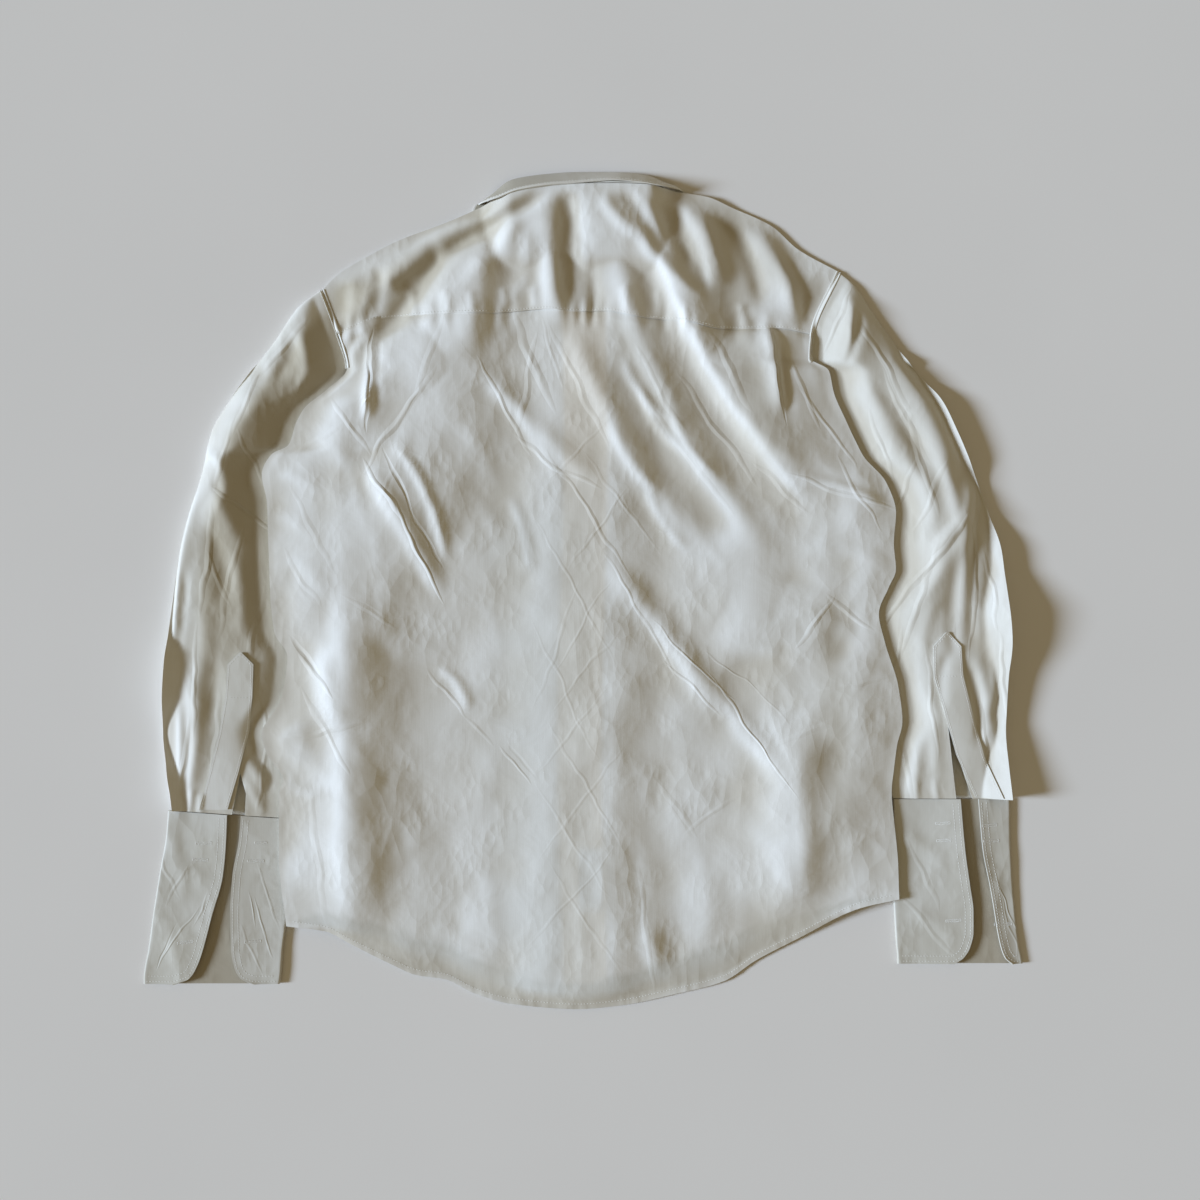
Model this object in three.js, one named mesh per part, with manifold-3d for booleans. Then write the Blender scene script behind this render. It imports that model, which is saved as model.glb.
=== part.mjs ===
// A long-sleeved dress shirt laid flat on its front, with its back up, the arms down beside the
// body and the double cuffs unfolded. Millimetres, +Z up, +Y to the collar, +X to the right sleeve.
import * as THREE from 'three';
import Module from 'manifold-3d';
import { mergeVertices } from 'three/addons/utils/BufferGeometryUtils.js';

// ---- driving dimensions -------------------------------------------------------------------------
const CLOTH = 1.2;              // wall of one layer of shirting, with its air
const STIFF = 1.8;              // wall of the interlined cuff
const SEAM_GAP = 0.3;           // between pieces that are sewn or lie on each other
const EDGE_INSET = 0.8;         // the fronts end this far inside the back's edge
const TUCK_LIFT = 5.8;          // the body's side edges lie this high, on the sleeves
const TUCK_FLAT = 17;           // width of the side edge that lies on a sleeve
const TUCK_RAMP = 40;           // where the front is down on the surface again
const TUCK_TOP = 5.2;           // highest a sleeve may be beneath the body's edge
const TUCK_OUTSIDE = 12;        // a sleeve stays that low this far outside the body's edge
const SLEEVE_EDGE = 3.4;        // height of a pressed sleeve at its folded edges
const NECK_LIFT = 2.0;          // the fronts lie this high on the collar's points
const NECK_RISE = 19;           // the back neck stands this high on the collar
const BUTTON_DIAMETER = 11;
const BUTTON_THICKNESS = 2;
const BUTTON_COUNT = 7;
const BUTTON_PITCH = 90;
const TOP_BUTTON_Y = 262;
const COLLAR_BUTTON_Y = 314;
const PLACKET_HALF = 17.5;      // half width of the button strip
const PLACKET_Z = 2.3;          // the strip lies on its buttons
const LEFT_FRONT_Z = 3.8;       // then the left front, then the right front
const RIGHT_FRONT_Z = 5.3;
const CENTRE_RAMP = 74;         // where the fronts are down on the surface beside the strip
const NECKLINE_HALF = 90;
const NECKLINE_CENTRE_Y = 300;
const TUCK_END = { from: 222, to: 250 };           // Y where the body's edges come down again
const COLLAR_POINT_SIDE = { from: 110, to: 145 };  // X where the fronts come down off the collar
const COLLAR_POINT_END = { from: 215, to: 252 };   // Y over which they rise onto its points
const NECK_SIDE = { from: 62, to: 104 };           // X over which the back neck comes down
const NECK_END = { from: 262, to: 345 };           // Y over which it rises
const NECK_MIDDLE_X = -3;
const PAST_FRONT = { from: 8, to: 30 };            // below the front hem the back comes down
const BRIDGE = { from: 30, to: 120 };              // inside its edges the back comes down slowly
const EDGE_ROOM = 45;           // the back's folds fade over this width at the side edges
const SHOULDER_ROOM = 38;       // and over this width at the shoulders
const HEM_ROOM = { from: -25, to: 95 };            // and over these heights above the hem
const NECK_RELIEF = 0.4;        // share of the folds' height that stays over the collar
const RELIEF_BASE = 5;          // the back lies this far off the fronts between its folds
const RELIEF_LEAST = 0.4;       // however deep a hollow is
const FOLD_FADE_IN = 0.2;       // share of a fold's length over which it rises
const FOLD_RUN_OUT = 0.15;      // share of its length that it runs on past its ends
const ARMHOLE_GAP = 0.8;        // between the body's edge and the start of a sleeve
const EDGE_WALL = 1.8;          // a sleeve's wall is this many times thicker at its folded edges
const SLEEVE_TOP_STEPS = 10;
const SLEEVE_BOTTOM_STEPS = 5;
const TUCK_SLOPE = 0.5;         // rise of a sleeve's limit outside the tucked strip
const CROWN_POWER = 0.7;        // how square a pressed sleeve's section is
const HALVINGS = 24;            // of the search for the section through a point
const SLIT_BOTTOM = 1.5;        // the slit is cut above this height, in the upper wall only
const SLIT_HEIGHT = 30;         // of the prism that cuts the slit, more than any sleeve's
const CUFF_GAP = 0.5;
const CUFF_CURL = 2.2;          // the cuff's free edges stand up this much
const CUFF_BEND = 2;            // radius of the cuff's folds
const CUFF_LEAF_STEPS = 4;
const CUFF_BOTTOM_STEPS = 5;
const BAND_STEPS = 3;           // across the collar and its stand
const BELLY_START = { from: 2, to: 12 };           // edge heights over which the leaf's belly grows
const BUTTON_CORNER = 0.7;
const BUTTON_RIM = 1.6;
const BUTTON_DISH = 0.4;
const BUTTON_SIDES = 9;
const LAYER_SPREAD = 7;         // the back clears each step of the fronts by this much sideways
const BODY_SEAM_ROW = 20;       // the row of BODY_ROWS at the yoke seam
const EDGE_STATIONS = [0, 9, 18, 26, 34, 46];   // columns beside the body's side edges
const CENTRE_STATIONS = [74, 54, 36, 17.5];     // columns beside the button strip
const BACK_FIELD_COLUMNS = 11;  // even columns of the back between these
const FRONT_FIELD_COLUMNS = 4;  // and of a front
const FRONT_YOKE_STEPS = 5;     // rows of the fronts beneath the yoke
const YOKE_COLUMNS = 30;
const YOKE_ROWS = 7;
const STRIP_ROWS = 8;
const PLACKET_COLUMNS = 4;
const PLACKET_ROWS = 16;
const PLACKET_ROW_POWER = 0.9;  // puts its rows closer together at the point

const IVORY = { color: 0xe8e3d3, roughness: 0.62, metalness: 0 };
const PEARL = { color: 0xe9e4d8, roughness: 0.25, metalness: 0 };

// ---- outlines: a row for each change of direction -----------------------------------------------
// the body's side edges, from the hem's corners past the underarms to the shoulder points
const BODY_ROWS = [
  { leftX: -277, leftY: -315, rightX: 296, rightY: -289 },
  { leftX: -284, leftY: -251, rightX: 295, rightY: -255 },
  { leftX: -284, leftY: -193, rightX: 289, rightY: -190 },
  { leftX: -280, leftY: -177, rightX: 291, rightY: -168 },
  { leftX: -295, leftY: -154, rightX: 294, rightY: -145 },
  { leftX: -300, leftY: -134, rightX: 299, rightY: -122 },
  { leftX: -281, leftY: -99, rightX: 295, rightY: -89 },
  { leftX: -276, leftY: -63, rightX: 283, rightY: -50 },
  { leftX: -288, leftY: -40, rightX: 277, rightY: -22 },
  { leftX: -292, leftY: -5, rightX: 286, rightY: 2 },
  { leftX: -293, leftY: 22, rightX: 293, rightY: 20 },
  { leftX: -294, leftY: 48, rightX: 291, rightY: 44 },
  { leftX: -295, leftY: 80, rightX: 293, rightY: 72 },
  { leftX: -300, leftY: 107, rightX: 284, rightY: 100 },
  { leftX: -291, leftY: 126, rightX: 263, rightY: 124 },
  { leftX: -275, leftY: 135, rightX: 255, rightY: 139 },
  { leftX: -268, leftY: 155, rightX: 246, rightY: 158 },
  { leftX: -260, leftY: 169, rightX: 235, rightY: 183 },
  { leftX: -239, leftY: 186, rightX: 230, rightY: 204 },
  { leftX: -220, leftY: 207, rightX: 213, rightY: 216 },
  { leftX: -229, leftY: 240, rightX: 215, rightY: 240 },
  { leftX: -244, leftY: 282, rightX: 240, rightY: 299 },
];
const BACK_HEM = [
  { x: -277, y: -314 }, { x: -242, y: -319 }, { x: -217, y: -332 }, { x: -179, y: -351 },
  { x: -156, y: -361 }, { x: -129, y: -365 }, { x: -102, y: -378 }, { x: -67, y: -388 },
  { x: -6, y: -393 }, { x: 32, y: -390 }, { x: 90, y: -378 }, { x: 132, y: -367 },
  { x: 163, y: -347 }, { x: 205, y: -325 }, { x: 249, y: -301 }, { x: 263, y: -296 },
  { x: 296, y: -289 },
];
const FRONT_HEM_RISE = [         // how far the front hem lies above the back hem
  { x: -277, y: 2 }, { x: -237, y: 20 }, { x: -159, y: 37 }, { x: 0, y: 29 },
  { x: 128, y: 37 }, { x: 243, y: 13 }, { x: 296, y: 2 },
];
const YOKE_SEAM = [
  { x: -229, y: 240 }, { x: -185, y: 255 }, { x: -140, y: 257 }, { x: -86, y: 258 },
  { x: -35, y: 262 }, { x: -10, y: 260 }, { x: 22, y: 261 }, { x: 47, y: 256 },
  { x: 94, y: 251 }, { x: 130, y: 244 }, { x: 184, y: 245 }, { x: 215, y: 240 },
];
const SHOULDER_LINE = [
  { x: -244, y: 282 }, { x: -230, y: 296 }, { x: -197, y: 316 }, { x: -171, y: 329 },
  { x: -122, y: 347 }, { x: -90, y: 361 }, { x: -60, y: 372 }, { x: -30, y: 377 },
  { x: 30, y: 378 }, { x: 59, y: 377 }, { x: 82, y: 374 }, { x: 116, y: 369 },
  { x: 140, y: 359 }, { x: 177, y: 342 }, { x: 202, y: 320 }, { x: 240, y: 299 },
];

// ---- folds: ridges and hollows of the back, from (x0, y0) to (x1, y1), bowed sideways ------------
// lean moves the steep side: -1 steep on the left of the way from start to end, +1 on the right
const BACK_FOLDS = [
  { x0: -120, y0: 320, x1: -176, y1: 29, bow: 0, width: 50, height: 10, lean: 0.3 },
  { x0: -106, y0: 337, x1: -217, y1: 205, bow: 0, width: 10, height: -6, lean: 0 },
  { x0: -134, y0: 341, x1: -223, y1: 245, bow: 0, width: 12, height: 5, lean: 0 },
  { x0: -90, y0: 309, x1: -106, y1: 226, bow: 0, width: 14, height: 4, lean: 0 },
  { x0: -34, y0: 353, x1: -21, y1: 256, bow: 0, width: 13, height: 6, lean: 0 },
  { x0: -5, y0: 359, x1: 13, y1: 256, bow: 0, width: 9, height: -4, lean: 0 },
  { x0: -5, y0: 231, x1: 101, y1: 52, bow: -8, width: 13, height: 4.5, lean: 0 },
  { x0: 33, y0: 315, x1: 162, y1: 52, bow: -17, width: 14, height: 6, lean: 0 },
  { x0: 68, y0: 331, x1: 204, y1: 94, bow: -14, width: 18, height: 10, lean: 0.4 },
  { x0: 108, y0: 359, x1: 133, y1: 287, bow: 0, width: 9, height: 4, lean: 0 },
  { x0: 193, y0: 277, x1: 272, y1: 92, bow: 0, width: 10, height: 6, lean: 0 },
  { x0: -217, y0: -18, x1: -219, y1: -324, bow: 0, width: 28, height: 7, lean: 0.3 },
  { x0: -245, y0: -61, x1: -230, y1: -127, bow: 0, width: 12, height: 4, lean: 0 },
  { x0: 197, y0: -127, x1: 204, y1: -305, bow: 0, width: 30, height: 8, lean: -0.3 },
  { x0: 143, y0: 57, x1: 167, y1: -56, bow: 0, width: 40, height: 5, lean: 0 },
  { x0: 257, y0: 57, x1: 240, y1: -73, bow: 0, width: 20, height: -4, lean: 0 },
  { x0: 263, y0: -18, x1: 280, y1: -56, bow: 0, width: 10, height: 4, lean: 0 },
  { x0: 61, y0: -315, x1: 76, y1: -371, bow: 0, width: 10, height: 3.5, lean: 0 },
  { x0: 28, y0: 24, x1: 122, y1: -108, bow: 3, width: 10, height: 3, lean: 0 },
  { x0: 77, y0: -39, x1: 188, y1: -176, bow: 3, width: 9, height: 2.5, lean: 0 },
  { x0: -198, y0: 113, x1: -134, y1: 0, bow: 3, width: 9, height: 4, lean: 0 },
  { x0: -89, y0: 202, x1: 11, y1: 102, bow: -3, width: 11, height: 2.5, lean: 0 },
  { x0: -199, y0: 227, x1: -201, y1: 161, bow: 0, width: 9, height: 2.5, lean: 0.5 },
  { x0: 175, y0: 244, x1: 185, y1: 171, bow: 0, width: 9, height: 2.5, lean: -0.5 },
];

// ---- sleeves: a row for each section, from the armhole to the wrist -------------------------------
const LEFT_SLEEVE = {
  side: -1,
  skew: 0.65,                   // below 1 its highest line lies nearer the outer edge
  placketRise: 1.5,             // of its placket off its sections, to clear the flats between them
  rows: [
    { outerX: -246, outerY: 282, innerX: -221, innerY: 209, puff: 1 },
    { outerX: -266, outerY: 266, innerX: -224, innerY: 190, puff: 8 },
    { outerX: -289, outerY: 233, innerX: -244, innerY: 170, puff: 11 },
    { outerX: -311, outerY: 204, innerX: -255, innerY: 153, puff: 12 },
    { outerX: -330, outerY: 179, innerX: -263, innerY: 134, puff: 12 },
    { outerX: -348, outerY: 148, innerX: -279, innerY: 117, puff: 12 },
    { outerX: -357, outerY: 109, innerX: -284, innerY: 94, puff: 12 },
    { outerX: -369, outerY: 71, innerX: -283, innerY: 64, puff: 11 },
    { outerX: -378, outerY: 33, innerX: -282, innerY: 29, puff: 9 },
    { outerX: -383, outerY: -9, innerX: -279, innerY: -9, puff: 9 },
    { outerX: -387, outerY: -47, innerX: -271, innerY: -47, puff: 9 },
    { outerX: -391, outerY: -100, innerX: -270, innerY: -100, puff: 9 },
    { outerX: -392, outerY: -134, innerX: -286, innerY: -134, puff: 8 },
    { outerX: -386, outerY: -178, innerX: -271, innerY: -178, puff: 6 },
    { outerX: -383, outerY: -206, innerX: -273, innerY: -214, puff: 3 },
  ],
  folds: [
    { x0: -338, y0: 92, x1: -296, y1: 60, bow: 0, width: 16, height: 6, lean: -0.4 },
    { x0: -366, y0: 90, x1: -382, y1: -60, bow: -4, width: 11, height: 4, lean: 0 },
    { x0: -258, y0: 240, x1: -262, y1: 175, bow: 6, width: 14, height: 5, lean: 0.3 },
    { x0: -300, y0: 190, x1: -330, y1: 110, bow: -6, width: 16, height: 5, lean: 0 },
    { x0: -360, y0: -90, x1: -372, y1: -190, bow: 4, width: 12, height: 4, lean: 0 },
    { x0: -300, y0: -110, x1: -294, y1: -190, bow: 0, width: 12, height: 4, lean: 0 },
  ],
  placket: [
    { y: -58, left: -320, right: -318 }, { y: -69, left: -331, right: -307 },
    { y: -100, left: -333, right: -308 }, { y: -133, left: -339, right: -312 },
    { y: -169, left: -348, right: -321 }, { y: -205, left: -358, right: -332 },
  ],
  slit: [
    { x: -320, y: -171 }, { x: -331, y: -222 }, { x: -317, y: -222 }, { x: -315, y: -190 },
  ],
};
const RIGHT_SLEEVE = {
  side: 1,
  skew: 1,
  placketRise: 0.95,
  rows: [
    { outerX: 242, outerY: 298, innerX: 213, innerY: 217, puff: 1 },
    { outerX: 255, outerY: 286, innerX: 218, innerY: 204, puff: 7 },
    { outerX: 268, outerY: 266, innerX: 222, innerY: 190, puff: 10 },
    { outerX: 284, outerY: 243, innerX: 228, innerY: 174, puff: 12 },
    { outerX: 301, outerY: 219, innerX: 236, innerY: 153, puff: 13 },
    { outerX: 318, outerY: 198, innerX: 248, innerY: 131, puff: 13 },
    { outerX: 335, outerY: 178, innerX: 263, innerY: 109, puff: 13 },
    { outerX: 350, outerY: 148, innerX: 275, innerY: 90, puff: 13 },
    { outerX: 370, outerY: 100, innerX: 283, innerY: 64, puff: 13 },
    { outerX: 381, outerY: 69, innerX: 281, innerY: 40, puff: 12 },
    { outerX: 391, outerY: 36, innerX: 282, innerY: 14, puff: 12 },
    { outerX: 396, outerY: -13, innerX: 267, innerY: -20, puff: 11 },
    { outerX: 399, outerY: -51, innerX: 270, innerY: -51, puff: 10 },
    { outerX: 397, outerY: -80, innerX: 284, innerY: -80, puff: 9 },
    { outerX: 396, outerY: -109, innerX: 289, innerY: -109, puff: 9 },
    { outerX: 395, outerY: -136, innerX: 284, innerY: -136, puff: 8 },
    { outerX: 397, outerY: -164, innerX: 283, innerY: -164, puff: 6 },
    { outerX: 400, outerY: -195, innerX: 291, innerY: -195, puff: 3 },
  ],
  folds: [
    { x0: 357, y0: 66, x1: 282, y1: -34, bow: -5, width: 15, height: 7, lean: 0.4 },
    { x0: 368, y0: 98, x1: 364, y1: -38, bow: -5, width: 11, height: 5, lean: 0 },
    { x0: 250, y0: 270, x1: 232, y1: 200, bow: 6, width: 13, height: 5, lean: 0.3 },
    { x0: 290, y0: 215, x1: 345, y1: 110, bow: 5, width: 15, height: 5, lean: 0 },
    { x0: 388, y0: -50, x1: 386, y1: -110, bow: 0, width: 10, height: 4, lean: 0 },
    { x0: 370, y0: 92, x1: 363, y1: -47, bow: -3, width: 8, height: -5, lean: 0 },
    { x0: 310, y0: -95, x1: 300, y1: -180, bow: 0, width: 12, height: 4, lean: 0 },
  ],
  placket: [
    { y: -39, left: 339, right: 341 }, { y: -52, left: 327, right: 353 },
    { y: -80, left: 328, right: 355 }, { y: -116, left: 338, right: 364 },
    { y: -154, left: 349, right: 375 }, { y: -194, left: 368, right: 392 },
  ],
  slit: [
    { x: 341, y: -127 }, { x: 351, y: -204 }, { x: 368, y: -204 },
  ],
};

// ---- cuffs: a row for each section, from the sleeve to the rounded free corners --------------------
// foldLeft and foldRight are the folded sides; leafLeft and leafRight are the free edges on top
const LEFT_CUFF = [
  { y: -206.6, foldLeft: -389, leafLeft: -333, leafRight: -320, foldRight: -273, drop: 8 },
  { y: -231, foldLeft: -391, leafLeft: -334, leafRight: -322, foldRight: -274, drop: 6 },
  { y: -265, foldLeft: -397, leafLeft: -337, leafRight: -328, foldRight: -275, drop: 4 },
  { y: -303, foldLeft: -403, leafLeft: -347, leafRight: -330, foldRight: -277, drop: 2 },
  { y: -338, foldLeft: -408, leafLeft: -356, leafRight: -329, foldRight: -281, drop: 0 },
  { y: -354, foldLeft: -411, leafLeft: -362, leafRight: -326, foldRight: -282, drop: 0 },
  { y: -364, foldLeft: -412, leafLeft: -369, leafRight: -320, foldRight: -283, drop: 0 },
  { y: -369, foldLeft: -412, leafLeft: -384, leafRight: -308, foldRight: -284, drop: 0 },
];
const RIGHT_CUFF = [
  { y: -195.6, foldLeft: 291, leafLeft: 354, leafRight: 371, foldRight: 401, drop: 0 },
  { y: -243, foldLeft: 291, leafLeft: 358, leafRight: 375, foldRight: 402, drop: 0 },
  { y: -278, foldLeft: 291, leafLeft: 363, leafRight: 382, foldRight: 404, drop: 0 },
  { y: -301, foldLeft: 292, leafLeft: 366, leafRight: 386, foldRight: 406, drop: 0 },
  { y: -320, foldLeft: 293, leafLeft: 366, leafRight: 389, foldRight: 408, drop: 0 },
  { y: -334, foldLeft: 294, leafLeft: 363, leafRight: 392, foldRight: 410, drop: 0 },
  { y: -344, foldLeft: 295, leafLeft: 357, leafRight: 396, foldRight: 412, drop: 0 },
  { y: -350, foldLeft: 295, leafLeft: 348, leafRight: 403, foldRight: 413, drop: 0 },
];

// ---- collar: a row for each section round the neck, from the left point to the right point --------
// edge is the leaf's free edge and fold its folded edge; at the back the leaf stands steeply
const COLLAR_LEAF = [
  { edgeX: -44, edgeY: 262, edgeZ: 0, foldX: -21, foldY: 329, foldZ: 0 },
  { edgeX: -80, edgeY: 290, edgeZ: 0, foldX: -48, foldY: 333, foldZ: 0 },
  { edgeX: -101, edgeY: 320, edgeZ: 0, foldX: -72, foldY: 341, foldZ: 0 },
  { edgeX: -106, edgeY: 345, edgeZ: 0, foldX: -86, foldY: 350, foldZ: 0 },
  { edgeX: -99, edgeY: 363, edgeZ: 0.6, foldX: -90, foldY: 365, foldZ: 0 },
  { edgeX: -95, edgeY: 366, edgeZ: 9, foldX: -87, foldY: 369, foldZ: 2 },
  { edgeX: -80, edgeY: 370, edgeZ: 20, foldX: -80, foldY: 376, foldZ: 4 },
  { edgeX: -60, edgeY: 376, edgeZ: 23, foldX: -66, foldY: 385, foldZ: 5 },
  { edgeX: -30, edgeY: 381, edgeZ: 24, foldX: -36, foldY: 390, foldZ: 5 },
  { edgeX: -5, edgeY: 383, edgeZ: 24, foldX: -6, foldY: 392, foldZ: 5 },
  { edgeX: 28, edgeY: 385, edgeZ: 24, foldX: 32, foldY: 392, foldZ: 5 },
  { edgeX: 52, edgeY: 383, edgeZ: 23, foldX: 60, foldY: 389, foldZ: 5 },
  { edgeX: 72, edgeY: 380, edgeZ: 20, foldX: 76, foldY: 383, foldZ: 4 },
  { edgeX: 91, edgeY: 377, edgeZ: 9, foldX: 84, foldY: 380, foldZ: 2 },
  { edgeX: 96, edgeY: 375, edgeZ: 0.6, foldX: 87, foldY: 377, foldZ: 0 },
  { edgeX: 106, edgeY: 352, edgeZ: 0, foldX: 84, foldY: 356, foldZ: 0 },
  { edgeX: 101, edgeY: 322, edgeZ: 0, foldX: 72, foldY: 342, foldZ: 0 },
  { edgeX: 80, edgeY: 290, edgeZ: 0, foldX: 48, foldY: 333, foldZ: 0 },
  { edgeX: 44, edgeY: 262, edgeZ: 0, foldX: 21, foldY: 329, foldZ: 0 },
];
const COLLAR_STAND = [
  { edgeX: 1, edgeY: 302, edgeZ: 2.4, foldX: 1, foldY: 327, foldZ: 2.4 },
  { edgeX: -36, edgeY: 310, edgeZ: 2.4, foldX: -32, foldY: 331, foldZ: 2.4 },
  { edgeX: -64, edgeY: 327, edgeZ: 2.4, foldX: -56, foldY: 339, foldZ: 2.4 },
  { edgeX: -80, edgeY: 348, edgeZ: 2.4, foldX: -72, foldY: 352, foldZ: 2.4 },
  { edgeX: -82, edgeY: 366.5, edgeZ: 9, foldX: -78, foldY: 368, foldZ: 4 },
  { edgeX: -58, edgeY: 375, edgeZ: 19, foldX: -62, foldY: 380, foldZ: 5 },
  { edgeX: -30, edgeY: 379, edgeZ: 20, foldX: -34, foldY: 385, foldZ: 5 },
  { edgeX: 0, edgeY: 379.6, edgeZ: 20, foldX: 0, foldY: 387, foldZ: 5 },
  { edgeX: 30, edgeY: 380, edgeZ: 20, foldX: 32, foldY: 387, foldZ: 5 },
  { edgeX: 56, edgeY: 379.4, edgeZ: 19, foldX: 60, foldY: 383, foldZ: 5 },
  { edgeX: 76, edgeY: 377.4, edgeZ: 9, foldX: 73, foldY: 378, foldZ: 4 },
  { edgeX: 78, edgeY: 352, edgeZ: 2.4, foldX: 71, foldY: 356, foldZ: 2.4 },
  { edgeX: 64, edgeY: 330, edgeZ: 2.4, foldX: 56, foldY: 341, foldZ: 2.4 },
  { edgeX: 36, edgeY: 311, edgeZ: 2.4, foldX: 32, foldY: 331, foldZ: 2.4 },
  { edgeX: 3, edgeY: 302, edgeZ: 2.4, foldX: 3, foldY: 327, foldZ: 2.4 },
];

// ---- helpers ------------------------------------------------------------------------------------
const mix = (a, b, t) => a + (b - a) * t;
const clamp01 = (t) => Math.min(1, Math.max(0, t));

function smooth(from, to, value) {
  const t = clamp01((value - from) / (to - from));
  return t * t * (3 - 2 * t);
}

/** The same over a span { from, to }, moved by shift. */
const over = (span, value, shift = 0) => smooth(span.from + shift, span.to + shift, value);

/** Reads column `want` of a table at `value` of column `by`, whose rows go one way. */
function readTable(rows, by, want, value) {
  const rising = rows[rows.length - 1][by] > rows[0][by] ? 1 : -1;
  let k = 0;
  while (k < rows.length - 2 && rising * (value - rows[k + 1][by]) > 0) k += 1;
  const t = clamp01((value - rows[k][by]) / (rows[k + 1][by] - rows[k][by]));
  return mix(rows[k][want], rows[k + 1][want], t);
}

const leftEdge = (y) => readTable(BODY_ROWS, 'leftY', 'leftX', y);
const rightEdge = (y) => readTable(BODY_ROWS, 'rightY', 'rightX', y);
const backHem = (x) => readTable(BACK_HEM, 'x', 'y', x);
const frontHem = (x) => backHem(x) + readTable(FRONT_HEM_RISE, 'x', 'y', x);
const yokeSeam = (x) => readTable(YOKE_SEAM, 'x', 'y', x);
const shoulderLine = (x) => readTable(SHOULDER_LINE, 'x', 'y', x);

/** Height of all the ridges of a table over the point (x, y). */
function foldHeight(folds, x, y) {
  let height = 0;
  for (const fold of folds) {
    const dx = fold.x1 - fold.x0;
    const dy = fold.y1 - fold.y0;
    const length = Math.hypot(dx, dy);
    const t = ((x - fold.x0) * dx + (y - fold.y0) * dy) / (length * length);
    const arch = 4 * clamp01(t) * (1 - clamp01(t));
    const off = ((y - fold.y0) * dx - (x - fold.x0) * dy) / length - fold.bow * arch;
    const width = fold.width * (off > 0 ? 1 + fold.lean : 1 - fold.lean);
    const ends = smooth(-FOLD_RUN_OUT, FOLD_FADE_IN, t) * (1 - smooth(1 - FOLD_FADE_IN, 1 + FOLD_RUN_OUT, t));
    height += fold.height * ends * Math.exp(-((off / width) ** 2));
  }
  return height;
}

/** A closed wall between two grids of points; a ring's last column joins its first. */
function wall(outerRows, innerRows, ring = false) {
  const rows = outerRows.length;
  const columns = outerRows[0].length;
  const positions = [...outerRows.flat(), ...innerRows.flat()].flat();
  const inner = rows * columns;
  const index = [];
  const quad = (a, b, c, d) => index.push(a, b, c, a, c, d);
  const last = ring ? columns : columns - 1;
  for (let j = 0; j < rows - 1; j += 1) {
    for (let i = 0; i < last; i += 1) {
      const next = (i + 1) % columns;
      const a = j * columns + i;
      const b = j * columns + next;
      const c = (j + 1) * columns + next;
      const d = (j + 1) * columns + i;
      quad(a, b, c, d);
      quad(inner + d, inner + c, inner + b, inner + a);
    }
    if (!ring) {
      const near = j * columns;
      const far = near + columns - 1;
      quad(near, near + columns, inner + near + columns, inner + near);
      quad(far, inner + far, inner + far + columns, far + columns);
    }
  }
  const end = (rows - 1) * columns;
  for (let i = 0; i < last; i += 1) {
    const next = (i + 1) % columns;
    quad(i, inner + i, inner + next, next);
    quad(end + i, end + next, inner + end + next, inner + end + i);
  }
  const geometry = new THREE.BufferGeometry();
  geometry.setAttribute('position', new THREE.Float32BufferAttribute(positions, 3));
  geometry.setIndex(index);
  return geometry;
}

/** A wall over rows of [x, y] points, whose underside is at height(x, y). */
function panel(plan, height) {
  const level = (lift) => plan.map((row) => row.map(([x, y]) => [x, y, height(x, y) + lift]));
  return wall(level(CLOTH), level(0));
}

/** Rows of [x, y] points at place(u, v), with u and v even from 0 to 1. */
function evenPlan(columns, rows, place) {
  const plan = [];
  for (let j = 0; j <= rows; j += 1) {
    plan.push(Array.from({ length: columns + 1 }, (_, i) => place(i / columns, j / rows)));
  }
  return plan;
}

/** Values from a to b, without b, at even steps. */
const steps = (a, b, count) => Array.from({ length: count }, (_, k) => mix(a, b, k / count));

// ---- the layers, from the surface up ---------------------------------------------------------------
/** Underside of a front whose middle strip lies at centreZ: up on sleeves, buttons and collar. */
function frontUnderside(x, y, centreZ, spread = 0) {
  const inside = Math.min(x - leftEdge(y), rightEdge(y) - x) - spread;
  const below = 1 - over(TUCK_END, y, spread);
  const side = TUCK_LIFT * below * (1 - smooth(TUCK_FLAT, TUCK_RAMP, inside));
  const onPoint = (1 - over(COLLAR_POINT_SIDE, Math.abs(x), spread)) * over(COLLAR_POINT_END, y, -spread);
  const centre = centreZ * (1 - smooth(PLACKET_HALF, CENTRE_RAMP, Math.abs(x) - spread));
  return Math.max(side, NECK_LIFT * onPoint, centre);
}

/** Underside of the back and the yoke: what they lie on, and their own folds above it. */
function backUnderside(x, y) {
  const frontTop = frontUnderside(x, y, RIGHT_FRONT_Z, LAYER_SPREAD) + CLOTH;
  const inside = Math.min(x - leftEdge(y), rightEdge(y) - x);
  const bridge = (TUCK_LIFT + CLOTH) * (1 - over(BRIDGE, inside)) * (1 - over(TUCK_END, y, LAYER_SPREAD));
  const support = Math.max(frontTop, bridge) * (1 - over(PAST_FRONT, frontHem(x) - y));
  const sideRoom = smooth(0, EDGE_ROOM, inside);
  const shoulderRoom = smooth(0, SHOULDER_ROOM, shoulderLine(x) - y);
  const room = sideRoom * shoulderRoom * over(HEM_ROOM, y - backHem(x));
  const relief = room * Math.max(RELIEF_LEAST, RELIEF_BASE + foldHeight(BACK_FOLDS, x, y));
  const neck = NECK_RISE * (1 - over(NECK_SIDE, Math.abs(x - NECK_MIDDLE_X))) * over(NECK_END, y);
  return Math.max(support + SEAM_GAP + relief, neck + relief * NECK_RELIEF);
}

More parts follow.
